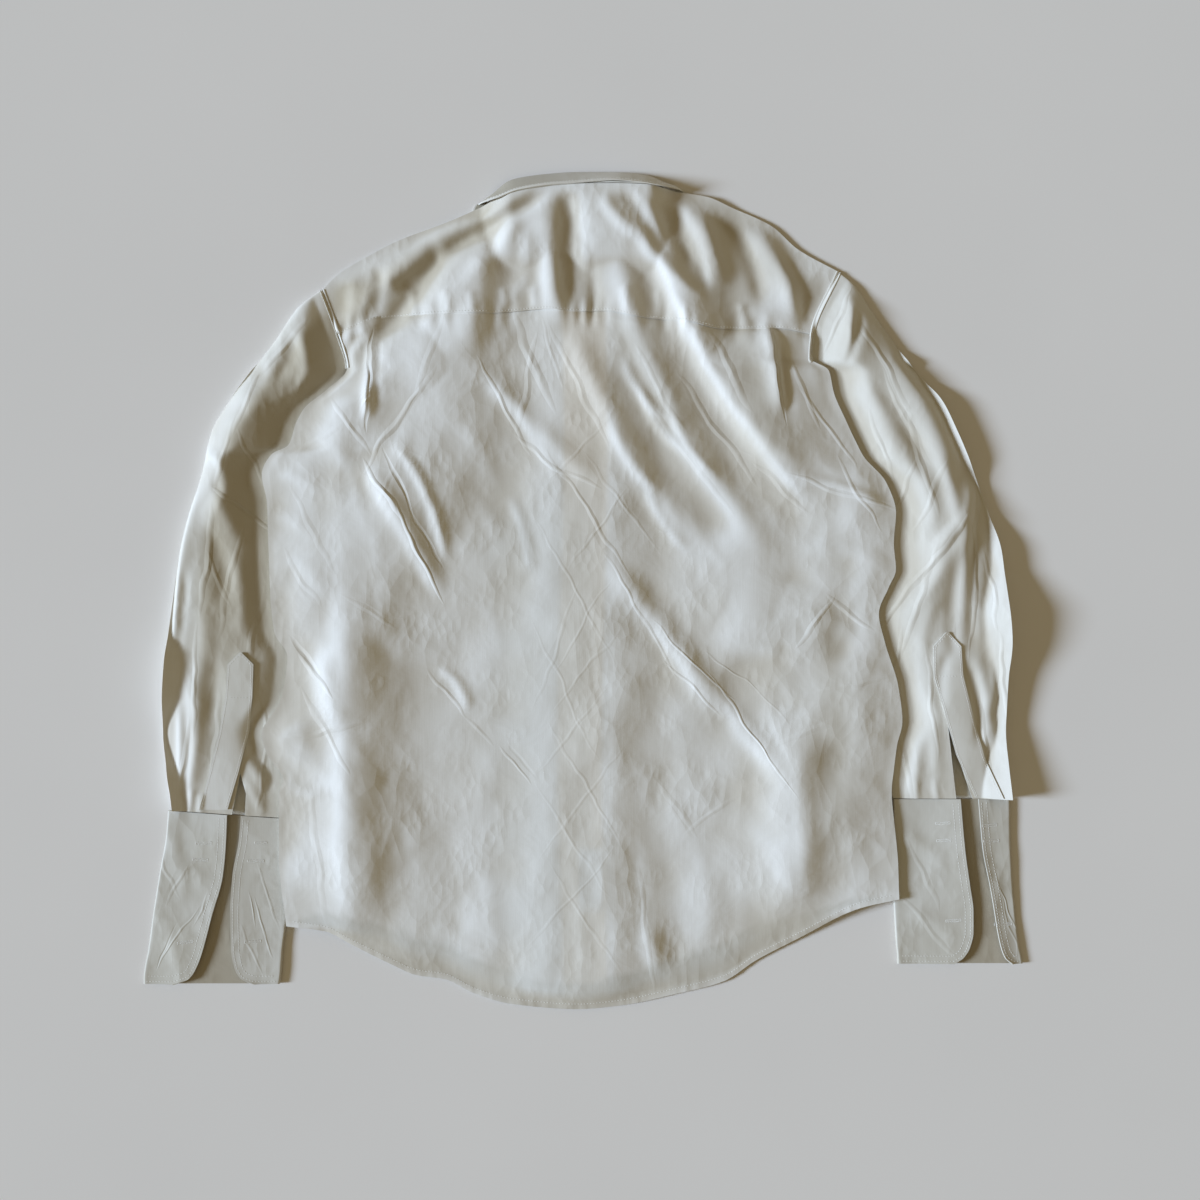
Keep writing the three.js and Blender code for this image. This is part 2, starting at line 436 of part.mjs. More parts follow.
/** A point of the body at x in row k, counted from the hem at 0 to the yoke at BODY_SEAM_ROW. */
function bodyPoint(x, k, hem, seam) {
  const low = BODY_ROWS[Math.min(BODY_SEAM_ROW - 1, Math.floor(k))];
  const high = BODY_ROWS[Math.min(BODY_SEAM_ROW - 1, Math.floor(k)) + 1];
  const part = k - Math.min(BODY_SEAM_ROW - 1, Math.floor(k));
  const row = {};
  for (const column of Object.keys(low)) row[column] = mix(low[column], high[column], part);
  const [first, last] = [BODY_ROWS[0], BODY_ROWS[BODY_SEAM_ROW]];
  const place = typeof x === 'function' ? x(row) : x;
  const u = clamp01((place - row.leftX) / (row.rightX - row.leftX));
  const level = mix(row.leftY, row.rightY, u);
  const v = k / BODY_SEAM_ROW;
  const hemBow = hem(mix(first.leftX, first.rightX, u)) - mix(first.leftY, first.rightY, u);
  const seamBow = seam(mix(last.leftX, last.rightX, u)) - mix(last.leftY, last.rightY, u);
  return [place, level + hemBow * (1 - v) ** 2 + seamBow * v ** 3];
}

/** Columns of a front, as functions of a row's ends: close at the side edge and at the strip. */
function halfColumns(side, inset, fieldColumns) {
  const edge = (row) => (side < 0 ? row.leftX + inset : row.rightX - inset);
  const near = EDGE_STATIONS.map((distance) => (row) => edge(row) - side * distance);
  const lastNear = EDGE_STATIONS[EDGE_STATIONS.length - 1];
  const between = steps(0, 1, fieldColumns).slice(1).map((t) => (row) => (
    mix(edge(row) - side * lastNear, side * CENTRE_STATIONS[0], t)
  ));
  const middle = CENTRE_STATIONS.map((distance) => () => side * distance);
  return [...near, ...between, ...middle];
}

function makeBack() {
  const half = (side) => halfColumns(side, 0, BACK_FIELD_COLUMNS);
  const columns = [...half(-1), () => 0, ...half(1).reverse()];
  const plan = [];
  for (let k = 0; k <= BODY_SEAM_ROW; k += 0.5) {
    plan.push(columns.map((column) => bodyPoint(column, k, backHem, (x) => yokeSeam(x) - 2 * SEAM_GAP)));
  }
  return panel(plan, backUnderside);
}

function makeYoke() {
  const place = (u, v) => {
    const seamX = mix(YOKE_SEAM[0].x, YOKE_SEAM[YOKE_SEAM.length - 1].x, u);
    const topX = mix(SHOULDER_LINE[0].x, SHOULDER_LINE[SHOULDER_LINE.length - 1].x, u);
    return [mix(seamX, topX, v), mix(yokeSeam(seamX), shoulderLine(topX), v)];
  };
  return panel(evenPlan(YOKE_COLUMNS, YOKE_ROWS, place), backUnderside);
}

/** Upper edge of a front: the shoulder line, and the neckline's half round. */
function frontTopEdge(x) {
  const shoulder = shoulderLine(x) - EDGE_INSET;
  if (Math.abs(x) >= NECKLINE_HALF) return shoulder;
  const depth = Math.sqrt(1 - (x / NECKLINE_HALF) ** 2);
  return mix(shoulderLine(Math.sign(x) * NECKLINE_HALF) - EDGE_INSET, NECKLINE_CENTRE_Y, depth);
}

/** A front from its side edge to the middle; side is -1 for the left one, 1 for the right one. */
function makeFront(side, centreZ) {
  const level = (x) => {
    const row = BODY_ROWS[BODY_SEAM_ROW];
    return mix(row.leftY, row.rightY, clamp01((x - row.leftX) / (row.rightX - row.leftX)));
  };
  const columns = [...halfColumns(side, EDGE_INSET, FRONT_FIELD_COLUMNS), () => -side * PLACKET_HALF];
  if (side > 0) columns.reverse();
  const plan = [];
  for (let k = 0; k <= BODY_SEAM_ROW; k += 1) {
    plan.push(columns.map((column) => bodyPoint(column, k, frontHem, level)));
  }
  const shoulder = BODY_ROWS[BODY_SEAM_ROW + 1];
  for (let k = 1; k <= FRONT_YOKE_STEPS; k += 1) {
    const v = k / FRONT_YOKE_STEPS;
    plan.push(columns.map((column, i) => {
      const [seamX, seamY] = plan[BODY_SEAM_ROW][i];
      const topX = column(shoulder);
      return [mix(seamX, topX, v), mix(seamY, frontTopEdge(topX), v)];
    }));
  }
  return panel(plan, (x, y) => frontUnderside(x, y, centreZ));
}

function makeFrontPlacket() {
  const place = (u, v) => [
    mix(-PLACKET_HALF, PLACKET_HALF, u),
    mix(frontHem(0) + 2, NECKLINE_CENTRE_Y - 1, v),
  ];
  return panel(evenPlan(1, STRIP_ROWS, place), () => PLACKET_Z);
}

// ---- sleeves ----------------------------------------------------------------------------------------
/** The section of a sleeve at t, from 0 at the armhole to 1 at the wrist. */
function sleeveSection(sleeve, t) {
  const last = sleeve.rows.length - 1;
  const k = Math.min(last - 1, Math.floor(t * last));
  const part = t * last - k;
  const section = { seamShare: clamp01(1 - t * last) };
  for (const column of ['outerX', 'outerY', 'innerX', 'innerY', 'puff']) {
    section[column] = mix(sleeve.rows[k][column], sleeve.rows[k + 1][column], part);
  }
  return section;
}

/** How far the start of a sleeve is moved in X at s across, to follow the body's edge. */
function seamShift(sleeve, s) {
  const start = sleeve.rows[0];
  const y = mix(start.outerY, start.innerY, s);
  const edge = sleeve.side < 0 ? leftEdge(y) : rightEdge(y);
  return edge + sleeve.side * ARMHOLE_GAP - mix(start.outerX, start.innerX, s);
}

/** Height of a sleeve's upper face at s across a section, kept low beneath the body's edge. */
function sleeveTop(sleeve, section, s) {
  const x = mix(section.outerX, section.innerX, s);
  const y = mix(section.outerY, section.innerY, s);
  const crown = Math.sin(Math.PI * clamp01(s) ** sleeve.skew) ** CROWN_POWER;
  const folds = foldHeight(sleeve.folds, x, y) * Math.min(1, 2 * crown);
  const outside = sleeve.side < 0 ? leftEdge(y) - x : x - rightEdge(y);
  const limit = TUCK_TOP + TUCK_SLOPE * Math.max(0, outside - TUCK_OUTSIDE);
  return Math.min(SLEEVE_EDGE + section.puff * crown + folds, limit);
}

/** One closed loop round a pressed sleeve; depth 0 is its outer face and CLOTH its inner face. */
function sleeveLoop(sleeve, section, depth) {
  const width = Math.hypot(section.outerX - section.innerX, section.outerY - section.innerY);
  const inset = (depth * EDGE_WALL) / width;
  const spot = (s, z) => {
    const across = mix(inset, 1 - inset, s);
    const x = mix(section.outerX, section.innerX, across) + section.seamShare * seamShift(sleeve, across);
    return [x, mix(section.outerY, section.innerY, across), z];
  };
  const spread = (k, n) => (1 - Math.cos((Math.PI * k) / n)) / 2;
  const loop = [spot(0, SLEEVE_EDGE / 2)];
  for (let k = 1; k < SLEEVE_BOTTOM_STEPS; k += 1) {
    loop.push(spot(spread(k, SLEEVE_BOTTOM_STEPS), depth));
  }
  loop.push(spot(1, SLEEVE_EDGE / 2));
  for (let k = SLEEVE_TOP_STEPS - 1; k > 0; k -= 1) {
    const s = spread(k, SLEEVE_TOP_STEPS);
    loop.push(spot(s, sleeveTop(sleeve, section, s) - depth));
  }
  return sleeve.side > 0 ? loop : loop.reverse();
}

function makeSleeve(sleeve) {
  const rows = 2 * (sleeve.rows.length - 1);
  const outer = [];
  const inner = [];
  for (let j = 0; j <= rows; j += 1) {
    const section = sleeveSection(sleeve, 1 - j / rows);
    outer.push(sleeveLoop(sleeve, section, 0));
    inner.push(sleeveLoop(sleeve, section, CLOTH));
  }
  return wall(outer, inner, true);
}

/** Height of a sleeve's upper face over (x, y): the section through the point is found by halving. */
function sleeveHeightAt(sleeve, x, y) {
  let low = 0;
  let high = 1;
  for (let halving = 0; halving < HALVINGS; halving += 1) {
    const t = (low + high) / 2;
    const { outerX, outerY, innerX, innerY } = sleeveSection(sleeve, t);
    const turn = (innerX - outerX) * (y - outerY) - (innerY - outerY) * (x - outerX);
    if (turn * -sleeve.side > 0) high = t;
    else low = t;
  }
  const section = sleeveSection(sleeve, low);
  const s = (x - section.outerX) / (section.innerX - section.outerX);
  return sleeveTop(sleeve, section, s);
}

/** The pointed strip beside the slit, made from the sleeve's own points, moved out. */
function makeSleevePlacket(sleeve) {
  const rows = sleeve.placket;
  const place = (u, v) => {
    const y = mix(rows[rows.length - 1].y, rows[0].y, v ** PLACKET_ROW_POWER);
    return [mix(readTable(rows, 'y', 'left', y), readTable(rows, 'y', 'right', y), u), y];
  };
  const height = (x, y) => sleeveHeightAt(sleeve, x, y) + sleeve.placketRise;
  return panel(evenPlan(PLACKET_COLUMNS, PLACKET_ROWS, place), height);
}

/** Cuts the slit through the sleeve's upper wall. */
function cutSlit(wasm, sleeve, geometry) {
  const outline = new THREE.Shape(sleeve.slit.map(({ x, y }) => new THREE.Vector2(x, y)));
  const knife = new THREE.ExtrudeGeometry(outline, { depth: SLIT_HEIGHT, bevelEnabled: false });
  knife.translate(0, 0, SLIT_BOTTOM);
  const result = toSolid(wasm, geometry).subtract(toSolid(wasm, knife)).getMesh();
  const cut = new THREE.BufferGeometry();
  cut.setAttribute('position', new THREE.Float32BufferAttribute(result.vertProperties, 3));
  cut.setIndex(Array.from(result.triVerts));
  return cut;
}

function toSolid(wasm, geometry) {
  const bare = geometry.clone();
  bare.deleteAttribute('normal');
  bare.deleteAttribute('uv');
  const merged = mergeVertices(bare, 1e-4);
  const vertProperties = new Float32Array(merged.attributes.position.array);
  const triVerts = new Uint32Array(merged.index.array);
  return new wasm.Manifold(new wasm.Mesh({ numProp: 3, vertProperties, triVerts }));
}

// ---- cuffs, collar and buttons ------------------------------------------------------------------------
/** Path across a cuff, from the left leaf's free edge under the wrist to the right leaf's free edge. */
function cuffPath(row, depth) {
  const leafZ = 2 * STIFF + CUFF_GAP;
  const foldZ = leafZ / 2;
  const bend = CUFF_BEND + depth;
  const width = row.foldRight - row.foldLeft;
  const path = [];
  const put = (x, z) => {
    path.push([x, row.y - (row.drop * (x - row.foldLeft)) / width, z]);
  };
  for (let k = 0; k <= CUFF_LEAF_STEPS; k += 1) {
    const lift = CUFF_CURL * (1 - k / CUFF_LEAF_STEPS) ** 2;
    put(mix(row.leafLeft, row.foldLeft + bend, k / CUFF_LEAF_STEPS), leafZ - depth + lift);
  }
  put(row.foldLeft + depth, foldZ);
  for (let k = 0; k <= CUFF_BOTTOM_STEPS; k += 1) {
    put(mix(row.foldLeft + bend, row.foldRight - bend, k / CUFF_BOTTOM_STEPS), depth);
  }
  put(row.foldRight - depth, foldZ);
  for (let k = 0; k <= CUFF_LEAF_STEPS; k += 1) {
    const lift = CUFF_CURL * (k / CUFF_LEAF_STEPS) ** 2;
    put(mix(row.foldRight - bend, row.leafRight, k / CUFF_LEAF_STEPS), leafZ - depth + lift);
  }
  return path;
}

function makeCuff(rows) {
  return wall(rows.map((row) => cuffPath(row, 0)), rows.map((row) => cuffPath(row, STIFF)));
}

/** A band round the neck; its inner face is found from the normals of its outer face. */
function makeNeckBand(rows, sag) {
  const outer = rows.map((row) => {
    const line = [];
    for (let k = 0; k <= BAND_STEPS; k += 1) {
      const t = k / BAND_STEPS;
      const belly = sag * 4 * t * (1 - t) * over(BELLY_START, row.edgeZ);
      line.push(new THREE.Vector3(
        mix(row.edgeX, row.foldX, t),
        mix(row.edgeY, row.foldY, t) + belly,
        mix(row.edgeZ, row.foldZ, t),
      ));
    }
    return line;
  });
  const inner = outer.map((line, j) => line.map((point, k) => {
    const along = new THREE.Vector3().subVectors(
      outer[Math.min(outer.length - 1, j + 1)][k],
      outer[Math.max(0, j - 1)][k],
    );
    const down = new THREE.Vector3().subVectors(
      line[Math.min(BAND_STEPS, k + 1)],
      line[Math.max(0, k - 1)],
    );
    const normal = new THREE.Vector3().crossVectors(along, down).normalize();
    return point.clone().addScaledVector(normal, -CLOTH);
  }));
  const list = (grid) => grid.map((line) => line.map((point) => point.toArray()));
  return wall(list(outer).map((line) => line.reverse()), list(inner).map((line) => line.reverse()));
}

function makeButton() {
  const radius = BUTTON_DIAMETER / 2;
  const profile = [
    new THREE.Vector2(0, 0),
    new THREE.Vector2(radius - BUTTON_CORNER, 0),
    new THREE.Vector2(radius, BUTTON_THICKNESS / 2),
    new THREE.Vector2(radius - BUTTON_CORNER, BUTTON_THICKNESS),
    new THREE.Vector2(radius - BUTTON_RIM, BUTTON_THICKNESS - BUTTON_DISH),
    new THREE.Vector2(0, BUTTON_THICKNESS - BUTTON_DISH),
  ];
  const button = new THREE.LatheGeometry(profile, BUTTON_SIDES);
  button.rotateX(Math.PI / 2);
  return button;
}

// ---- the shirt ---------------------------------------------------------------------------------------
const wasm = await Module();
wasm.setup();
const shirt = new THREE.Group();

function add(name, geometry, finish = IVORY) {
  const mesh = new THREE.Mesh(geometry, new THREE.MeshStandardMaterial(finish));
  mesh.name = name;
  shirt.add(mesh);
  return mesh;
}

add('back', makeBack());
add('yoke', makeYoke());
add('front_left', makeFront(-1, LEFT_FRONT_Z));
add('front_right', makeFront(1, RIGHT_FRONT_Z));
add('front_placket', makeFrontPlacket());
add('collar', makeNeckBand(COLLAR_LEAF, 1));
add('collar_stand', makeNeckBand(COLLAR_STAND, 0));
add('sleeve_left', cutSlit(wasm, LEFT_SLEEVE, makeSleeve(LEFT_SLEEVE)));
add('sleeve_right', cutSlit(wasm, RIGHT_SLEEVE, makeSleeve(RIGHT_SLEEVE)));
add('sleeve_placket_left', makeSleevePlacket(LEFT_SLEEVE));
add('sleeve_placket_right', makeSleevePlacket(RIGHT_SLEEVE));
add('cuff_left', makeCuff(LEFT_CUFF));
add('cuff_right', makeCuff(RIGHT_CUFF));
for (let k = 0; k < BUTTON_COUNT; k += 1) {
  add(`button_${k + 1}`, makeButton(), PEARL).position.set(0, TOP_BUTTON_Y - k * BUTTON_PITCH, 0);
}
add(`button_${BUTTON_COUNT + 1}`, makeButton(), PEARL).position.set(2, COLLAR_BUTTON_Y, 0);

export default shirt;
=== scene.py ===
import math

import bpy
import numpy as np
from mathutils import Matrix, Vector
from mathutils.bvhtree import BVHTree


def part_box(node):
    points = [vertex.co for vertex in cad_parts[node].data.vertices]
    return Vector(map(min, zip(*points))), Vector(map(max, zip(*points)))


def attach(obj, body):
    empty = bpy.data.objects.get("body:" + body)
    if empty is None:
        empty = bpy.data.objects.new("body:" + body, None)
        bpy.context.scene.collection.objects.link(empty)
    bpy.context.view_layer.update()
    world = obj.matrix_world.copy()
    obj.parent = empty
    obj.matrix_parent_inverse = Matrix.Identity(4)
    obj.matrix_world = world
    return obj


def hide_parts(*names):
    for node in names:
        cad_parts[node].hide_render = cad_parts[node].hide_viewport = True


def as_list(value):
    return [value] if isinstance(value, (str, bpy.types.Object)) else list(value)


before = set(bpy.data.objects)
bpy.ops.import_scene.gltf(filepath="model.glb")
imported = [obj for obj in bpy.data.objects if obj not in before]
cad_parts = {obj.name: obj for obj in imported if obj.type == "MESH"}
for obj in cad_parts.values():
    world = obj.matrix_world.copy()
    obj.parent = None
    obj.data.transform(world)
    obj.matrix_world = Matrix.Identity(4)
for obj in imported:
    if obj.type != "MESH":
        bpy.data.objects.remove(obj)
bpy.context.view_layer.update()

# ---- driving sizes in millimetres, which MM turns into metres ----
MM = 0.001
CLOTH = 1.2                  # wall of one layer, with its air
SHELL = 0.7                  # wall of the finished cloth
STIFF = 1.8                  # wall of the interlined cuff
CUFF_WALL, COLLAR_WALL, PLACKET_WALL, FELL_WALL = 1.5, 1.0, 1.1, 0.5
SEAM_GAP, CUFF_GAP, PLACKET_GAP, ARMHOLE_GAP = 0.3, 0.5, 0.5, 0.8
LAYER_SPREAD = 7.0           # how much wider the back bridges what lies beneath than the fronts do
EDGE_INSET = 0.8             # of the fronts behind the back's edge
WELD, KNIFE_HEIGHT, ABOVE_ALL = 0.00002, 0.04, 0.2      # in metres

# the fronts and the back where they lie on the sleeves, the buttons and the collar
TUCK_LIFT, TUCK_FLAT, TUCK_RAMP = 5.8, 17.0, 40.0
TUCK_TOP, TUCK_OUTSIDE, TUCK_SLOPE, TUCK_SOFT = 5.2, 12.0, 0.5, 1.2
ARMHOLE_LOW, ARMHOLE_HIGH = 222, 250
BRIDGE_RAMP, HEM_DROP = (30, 120), (8, 30)
NECK_LIFT, NECK_SIDE, NECK_FRONT = 2.0, (110, 145), (215, 252)
NECK_RISE, NECK_MIDDLE, NECK_ACROSS, NECK_UP = 19.0, -3, (62, 104), (262, 345)
PLACKET_HALF, CENTRE_RAMP = 17.5, 74.0
LEFT_FRONT_Z, RIGHT_FRONT_Z = 3.8, 5.3
NECKLINE_HALF, NECKLINE_CENTRE_Y = 90.0, 300.0

# the back's relief: folds and creases fade towards the side edge, the shoulder line and the hem
RELIEF_BASE, RELIEF_LEAST, NECK_RELIEF, LEAST_SUPPORT = 5.0, 0.4, 0.4, 0.7
FOLD_SIDE, FOLD_TOP, FOLD_HEM = (0, 45), (0, 38), (-25, 95)
CREASE_SIDE, CREASE_TOP, CREASE_HEM = (0, 9), (-4, 16), (-30, 50)
FOLD_START, FOLD_END = (-0.15, 0.2), (0.8, 1.15)        # shares of a fold's own length
RIPPLES = ((93.0, 0.30), (57.0, 0.14), (35.0, 0.06))    # wavelength, height
BODY_SEED, SLEEVE_SEED, CUFF_SEED = 0.37, 1.3, 2.1
# painted shade in the hollows between folds, one set for each reach
HOLLOW_SHADE_SETS = ((11, 3.2, 0.75), (4, 1.2, 0.5))          # reach in grid points, depth, share of the mask
SLEEVE_EDGE, CROWN_ROUND = 3.4, 0.7
# painted shade across a sleeve: where it sets in across, and how much it fades towards the cuff
SLOPE_SHADE_ACROSS, SLOPE_SHADE_FADE = (0.14, 0.34), 0.55
CUFF_RIPPLE, COLLAR_SAG = 0.9, 1.0
CLOTH_SHARP, BUTTON_SHARP = 50, 35                      # degrees, above which an edge stays sharp

SEAM_ROW = 20                # the row of BODY at the yoke seam
HEM_WIDTH = 6.0
STITCH_PITCH, STITCH_LENGTH, STITCH_WIDTH, STITCH_RISE = 2.9, 2.2, 0.5, 0.22
HOLE_START, HOLE_PITCH, HOLE_INNER, HOLE_OUTER = 0.4, 0.62, 0.25, 1.5
CUFF_STITCH_ROWS, PLACKET_STITCH = (2.4, 7.4), 1.8
FELL_INSIDE, FELL_OUTSIDE, FELL_STITCH, FELL_RISE, FELL_EDGE = 2.4, -1.6, 3.4, 0.25, 0.05


def table(columns, rows):
    """A table with named columns, each an array; what a row leaves out at its end is 0."""
    names = columns.split()
    filled = np.array([row + (0,) * (len(names) - len(row)) for row in rows], float)
    return {name: filled[:, k].copy() for k, name in enumerate(names)}


# ---- outlines and folds; left and right are those of someone who looks at the back from above ----
BODY = table("left_x left_y right_x right_y", [
    (-277, -315, 296, -289), (-284, -251, 295, -255), (-284, -193, 289, -190),
    (-280, -177, 291, -168), (-295, -154, 294, -145), (-300, -134, 299, -122),
    (-281, -99, 295, -89), (-276, -63, 283, -50), (-288, -40, 277, -22),
    (-292, -5, 286, 2), (-293, 22, 293, 20), (-294, 48, 291, 44), (-295, 80, 293, 72),
    (-300, 107, 284, 100), (-291, 126, 263, 124), (-275, 135, 255, 139),
    (-268, 155, 246, 158), (-260, 169, 235, 183), (-239, 186, 230, 204),
    (-220, 207, 213, 216), (-229, 240, 215, 240), (-244, 282, 240, 299)])
BACK_HEM = table("x y", [
    (-277, -314), (-242, -319), (-217, -332), (-179, -351), (-156, -361), (-129, -365),
    (-102, -378), (-67, -388), (-6, -393), (32, -390), (90, -378), (132, -367),
    (163, -347), (205, -325), (249, -301), (263, -296), (296, -289)])
FRONT_HEM_RISE = table("x y", [
    (-277, 2), (-237, 20), (-159, 37), (0, 29), (128, 37), (243, 13), (296, 2)])
YOKE_SEAM = table("x y", [
    (-229, 240), (-185, 255), (-140, 257), (-86, 258), (-35, 262), (-10, 260),
    (22, 261), (47, 256), (94, 251), (130, 244), (184, 245), (215, 240)])
SHOULDER = table("x y", [
    (-244, 282), (-230, 296), (-197, 316), (-171, 329), (-122, 347), (-90, 361),
    (-60, 372), (-30, 377), (30, 378), (59, 377), (82, 374), (116, 369), (140, 359),
    (177, 342), (202, 320), (240, 299)])

FOLD_COLUMNS = "x0 y0 x1 y1 bow width height lean"
# the big folds of the back, as in its solid
BACK_FOLDS = table(FOLD_COLUMNS, [
    (-120, 320, -176, 29, 0, 50, 10, 0.3), (-106, 337, -217, 205, 0, 10, -6),
    (-134, 341, -223, 245, 0, 12, 5), (-90, 309, -106, 226, 0, 14, 4), (-34, 353, -21, 256, 0, 13, 6),
    (-5, 359, 13, 256, 0, 9, -4), (-5, 231, 101, 52, -8, 13, 4.5), (33, 315, 162, 52, -17, 14, 6),
    (68, 331, 204, 94, -14, 18, 10, 0.4), (108, 359, 133, 287, 0, 9, 4), (193, 277, 272, 92, 0, 10, 6),
    (-217, -18, -219, -324, 0, 28, 7, 0.3), (-245, -61, -230, -127, 0, 12, 4),
    (197, -127, 204, -305, 0, 30, 8, -0.3), (143, 57, 167, -56, 0, 40, 5),
    (257, 57, 240, -73, 0, 20, -4), (263, -18, 280, -56, 0, 10, 4), (61, -315, 76, -371, 0, 10, 3.5),
    (28, 24, 122, -108, 3, 10, 3), (77, -39, 188, -176, 3, 9, 2.5), (-198, 113, -134, 0, 3, 9, 4),
    (-89, 202, 11, 102, -3, 11, 2.5), (-199, 227, -201, 161, 0, 9, 2.5, 0.5),
    (175, 244, 185, 171, 0, 9, 2.5, -0.5)])
# pleats, creases and hollows between them: narrow, as uneven as cloth that was worn
BACK_CREASES = table(FOLD_COLUMNS, [
    (-218, 236, -210, -330, 0, 36, 5.6, 0.3), (206, -60, 208, -320, 0, 30, 2.6),
    (-150, 250, -96, 120, 0, 34, 2.2, 0.2), (150, 240, 200, 100, 0, 26, 2.4),
    (-198, 232, -201, 160, 0, 5.0, 2.4, 0.4), (-190, 228, -193, 166, 0, 5.0, -1.6),
    (176, 243, 186, 168, 1, 5.0, 2.4, -0.4), (184, 240, 193, 172, 0, 5.0, -1.6),
    (-170, 132, -128, 34, 7, 4.5, 2.6), (-130, -74, -106, -110, 4, 5, 2),
    (54, -236, 66, -352, 6, 9, 0.9), (82, -250, 90, -350, 4, 10, -0.8),
    (108, -240, 116, -330, 5, 9, 0.8), (132, -262, 138, -330, 4, 8, -0.6),
    (-10, -250, 0, -370, 4, 7, 0.6), (-92, -262, -82, -352, 4, 8, 0.5),
    (-132, -220, -118, -330, 6, 9, -0.5), (-172, -180, -150, -300, 8, 12, 0.6),
    (-106, 216, -66, 168, 5, 6, 0.6), (-78, 190, -46, 140, 5, 5.5, 0.8),
    (-48, 140, -20, 96, 4, 5.5, 0.8), (-128, 232, -100, 196, 4, 6, 0.4),
    (-118, 160, -82, 100, 6, 7, 0.6), (-104, 92, -74, 34, 5, 6, 0.5), (-66, 84, -50, 22, 4, 5, 1.2),
    (-214, 84, -190, 20, 6, 8, 0.6), (-232, 136, -208, 82, 5, 7, 0.7), (-196, -20, -168, -66, 5, 8, 0.6),
    (-162, 10, -140, -34, 4, 6, 0.4), (-96, -10, -76, -60, 4, 6, 0.4), (40, 214, 78, 160, -5, 5, 2),
    (54, 190, 96, 128, -6, 5, 2.2, 0.2), (84, 166, 122, 108, -5, 5, 2), (30, 150, 66, 96, -4, 5, 1.6),
    (62, 92, 96, 40, -4, 5, 1.6), (100, 76, 132, 26, -4, 5.5, 0.6),
    (112, 210, 156, 152, -6, 6, 0.8, 0.2), (150, 168, 200, 120, -6, 6, 0.7),
    (202, 104, 280, 80, 5, 4.5, 2.4), (166, 100, 206, 70, 4, 6, 0.6), (212, 40, 284, 24, 5, 8, 0.8),
    (186, 14, 250, -20, 6, 9, -0.8), (196, -6, 262, -40, 6, 7, -0.9), (236, -70, 290, -84, 4, 6, 0.7),
    (150, -52, 206, -74, 5, 6, 0.5), (222, -132, 286, -146, 6, 8, 0.8),
    (240, -170, 284, -196, 5, 9, 0.6), (206, -150, 246, -220, 8, 11, 0.6),
    (160, -222, 200, -290, 6, 10, 0.6), (-284, -140, -246, -128, 5, 7, 0.7),
    (-240, -132, -196, -160, 5, 8, 0.6), (-278, -176, -246, -190, -5, 6, 0.6),
    (-214, -200, -196, -290, 8, 12, 0.6), (-272, 30, -240, -6, 7, 8, 0.8),
    (-288, 70, -250, 48, 5, 7, 0.6), (-282, 108, -246, 92, 4, 6, 0.7), (-206, 240, -226, 214, -3, 5, -3)])
YOKE_CREASES = table(FOLD_COLUMNS, [
    (-14, 374, -14, 266, 1, 11, -6.0), (-34, 374, -134, 318, 6, 8, -5.0),
    (-134, 318, -172, 284, 4, 9, -5.0), (-36, 384, -150, 330, 8, 9, 4.0), (20, 366, 54, 330, -4, 7, 3.0),
    (54, 330, 112, 274, -5, 7, 3.0), (36, 372, 70, 318, 5, 7, -3.0), (92, 364, 122, 282, 6, 9, 3.5, 0.2),
    (64, 366, 100, 300, 6, 8, -3.0), (130, 346, 168, 270, 8, 9, -3.5), (160, 336, 200, 264, 6, 9, 3.0),
    (190, 312, 214, 256, 4, 7, -2.0), (-190, 300, -200, 254, 4, 7, -3.0),
    (-214, 292, -220, 250, 3, 7, 2.0), (-62, 350, -96, 300, 6, 9, 2.2), (-90, 330, -122, 272, 6, 9, 2.0),
    (-50, 330, -64, 270, 4, 8, 1.8), (-160, 282, -156, 258, 0, 4, 1.4),
    (-128, 280, -122, 258, 0, 4, 1.2), (-104, 278, -102, 260, 0, 4, 1.0),
    (-74, 282, -70, 262, 0, 4, 1.2), (-46, 284, -44, 264, 0, 4, 1.2), (40, 284, 42, 260, 0, 4, 1.2),
    (70, 280, 74, 256, 0, 4, 1.2), (148, 268, 152, 248, 0, 4, 1.2), (2, 320, 6, 264, 1, 4, 1.0)])

# painted shade: bands where the body's slopes, facing away from the light, are darkened in colour
SLOPE_SHADE_BANDS = table(FOLD_COLUMNS, [
    (-60, 368, -232, 268, 8, 18, 0.75), (-226, 290, -214, 246, 0, 18, 0.7),
    (-130, 300, -228, 196, 0, 15, 0.5), (120, 362, 226, 270, -6, 16, 0.5),
    (84, 352, 150, 262, 0, 22, 0.5), (140, 262, 196, 120, -8, 24, 0.55), (36, 250, 92, 150, 0, 17, 0.35),
    (236, -40, 240, -260, 0, 22, 0.45), (-20, 350, -14, 262, 0, 12, 0.3)])

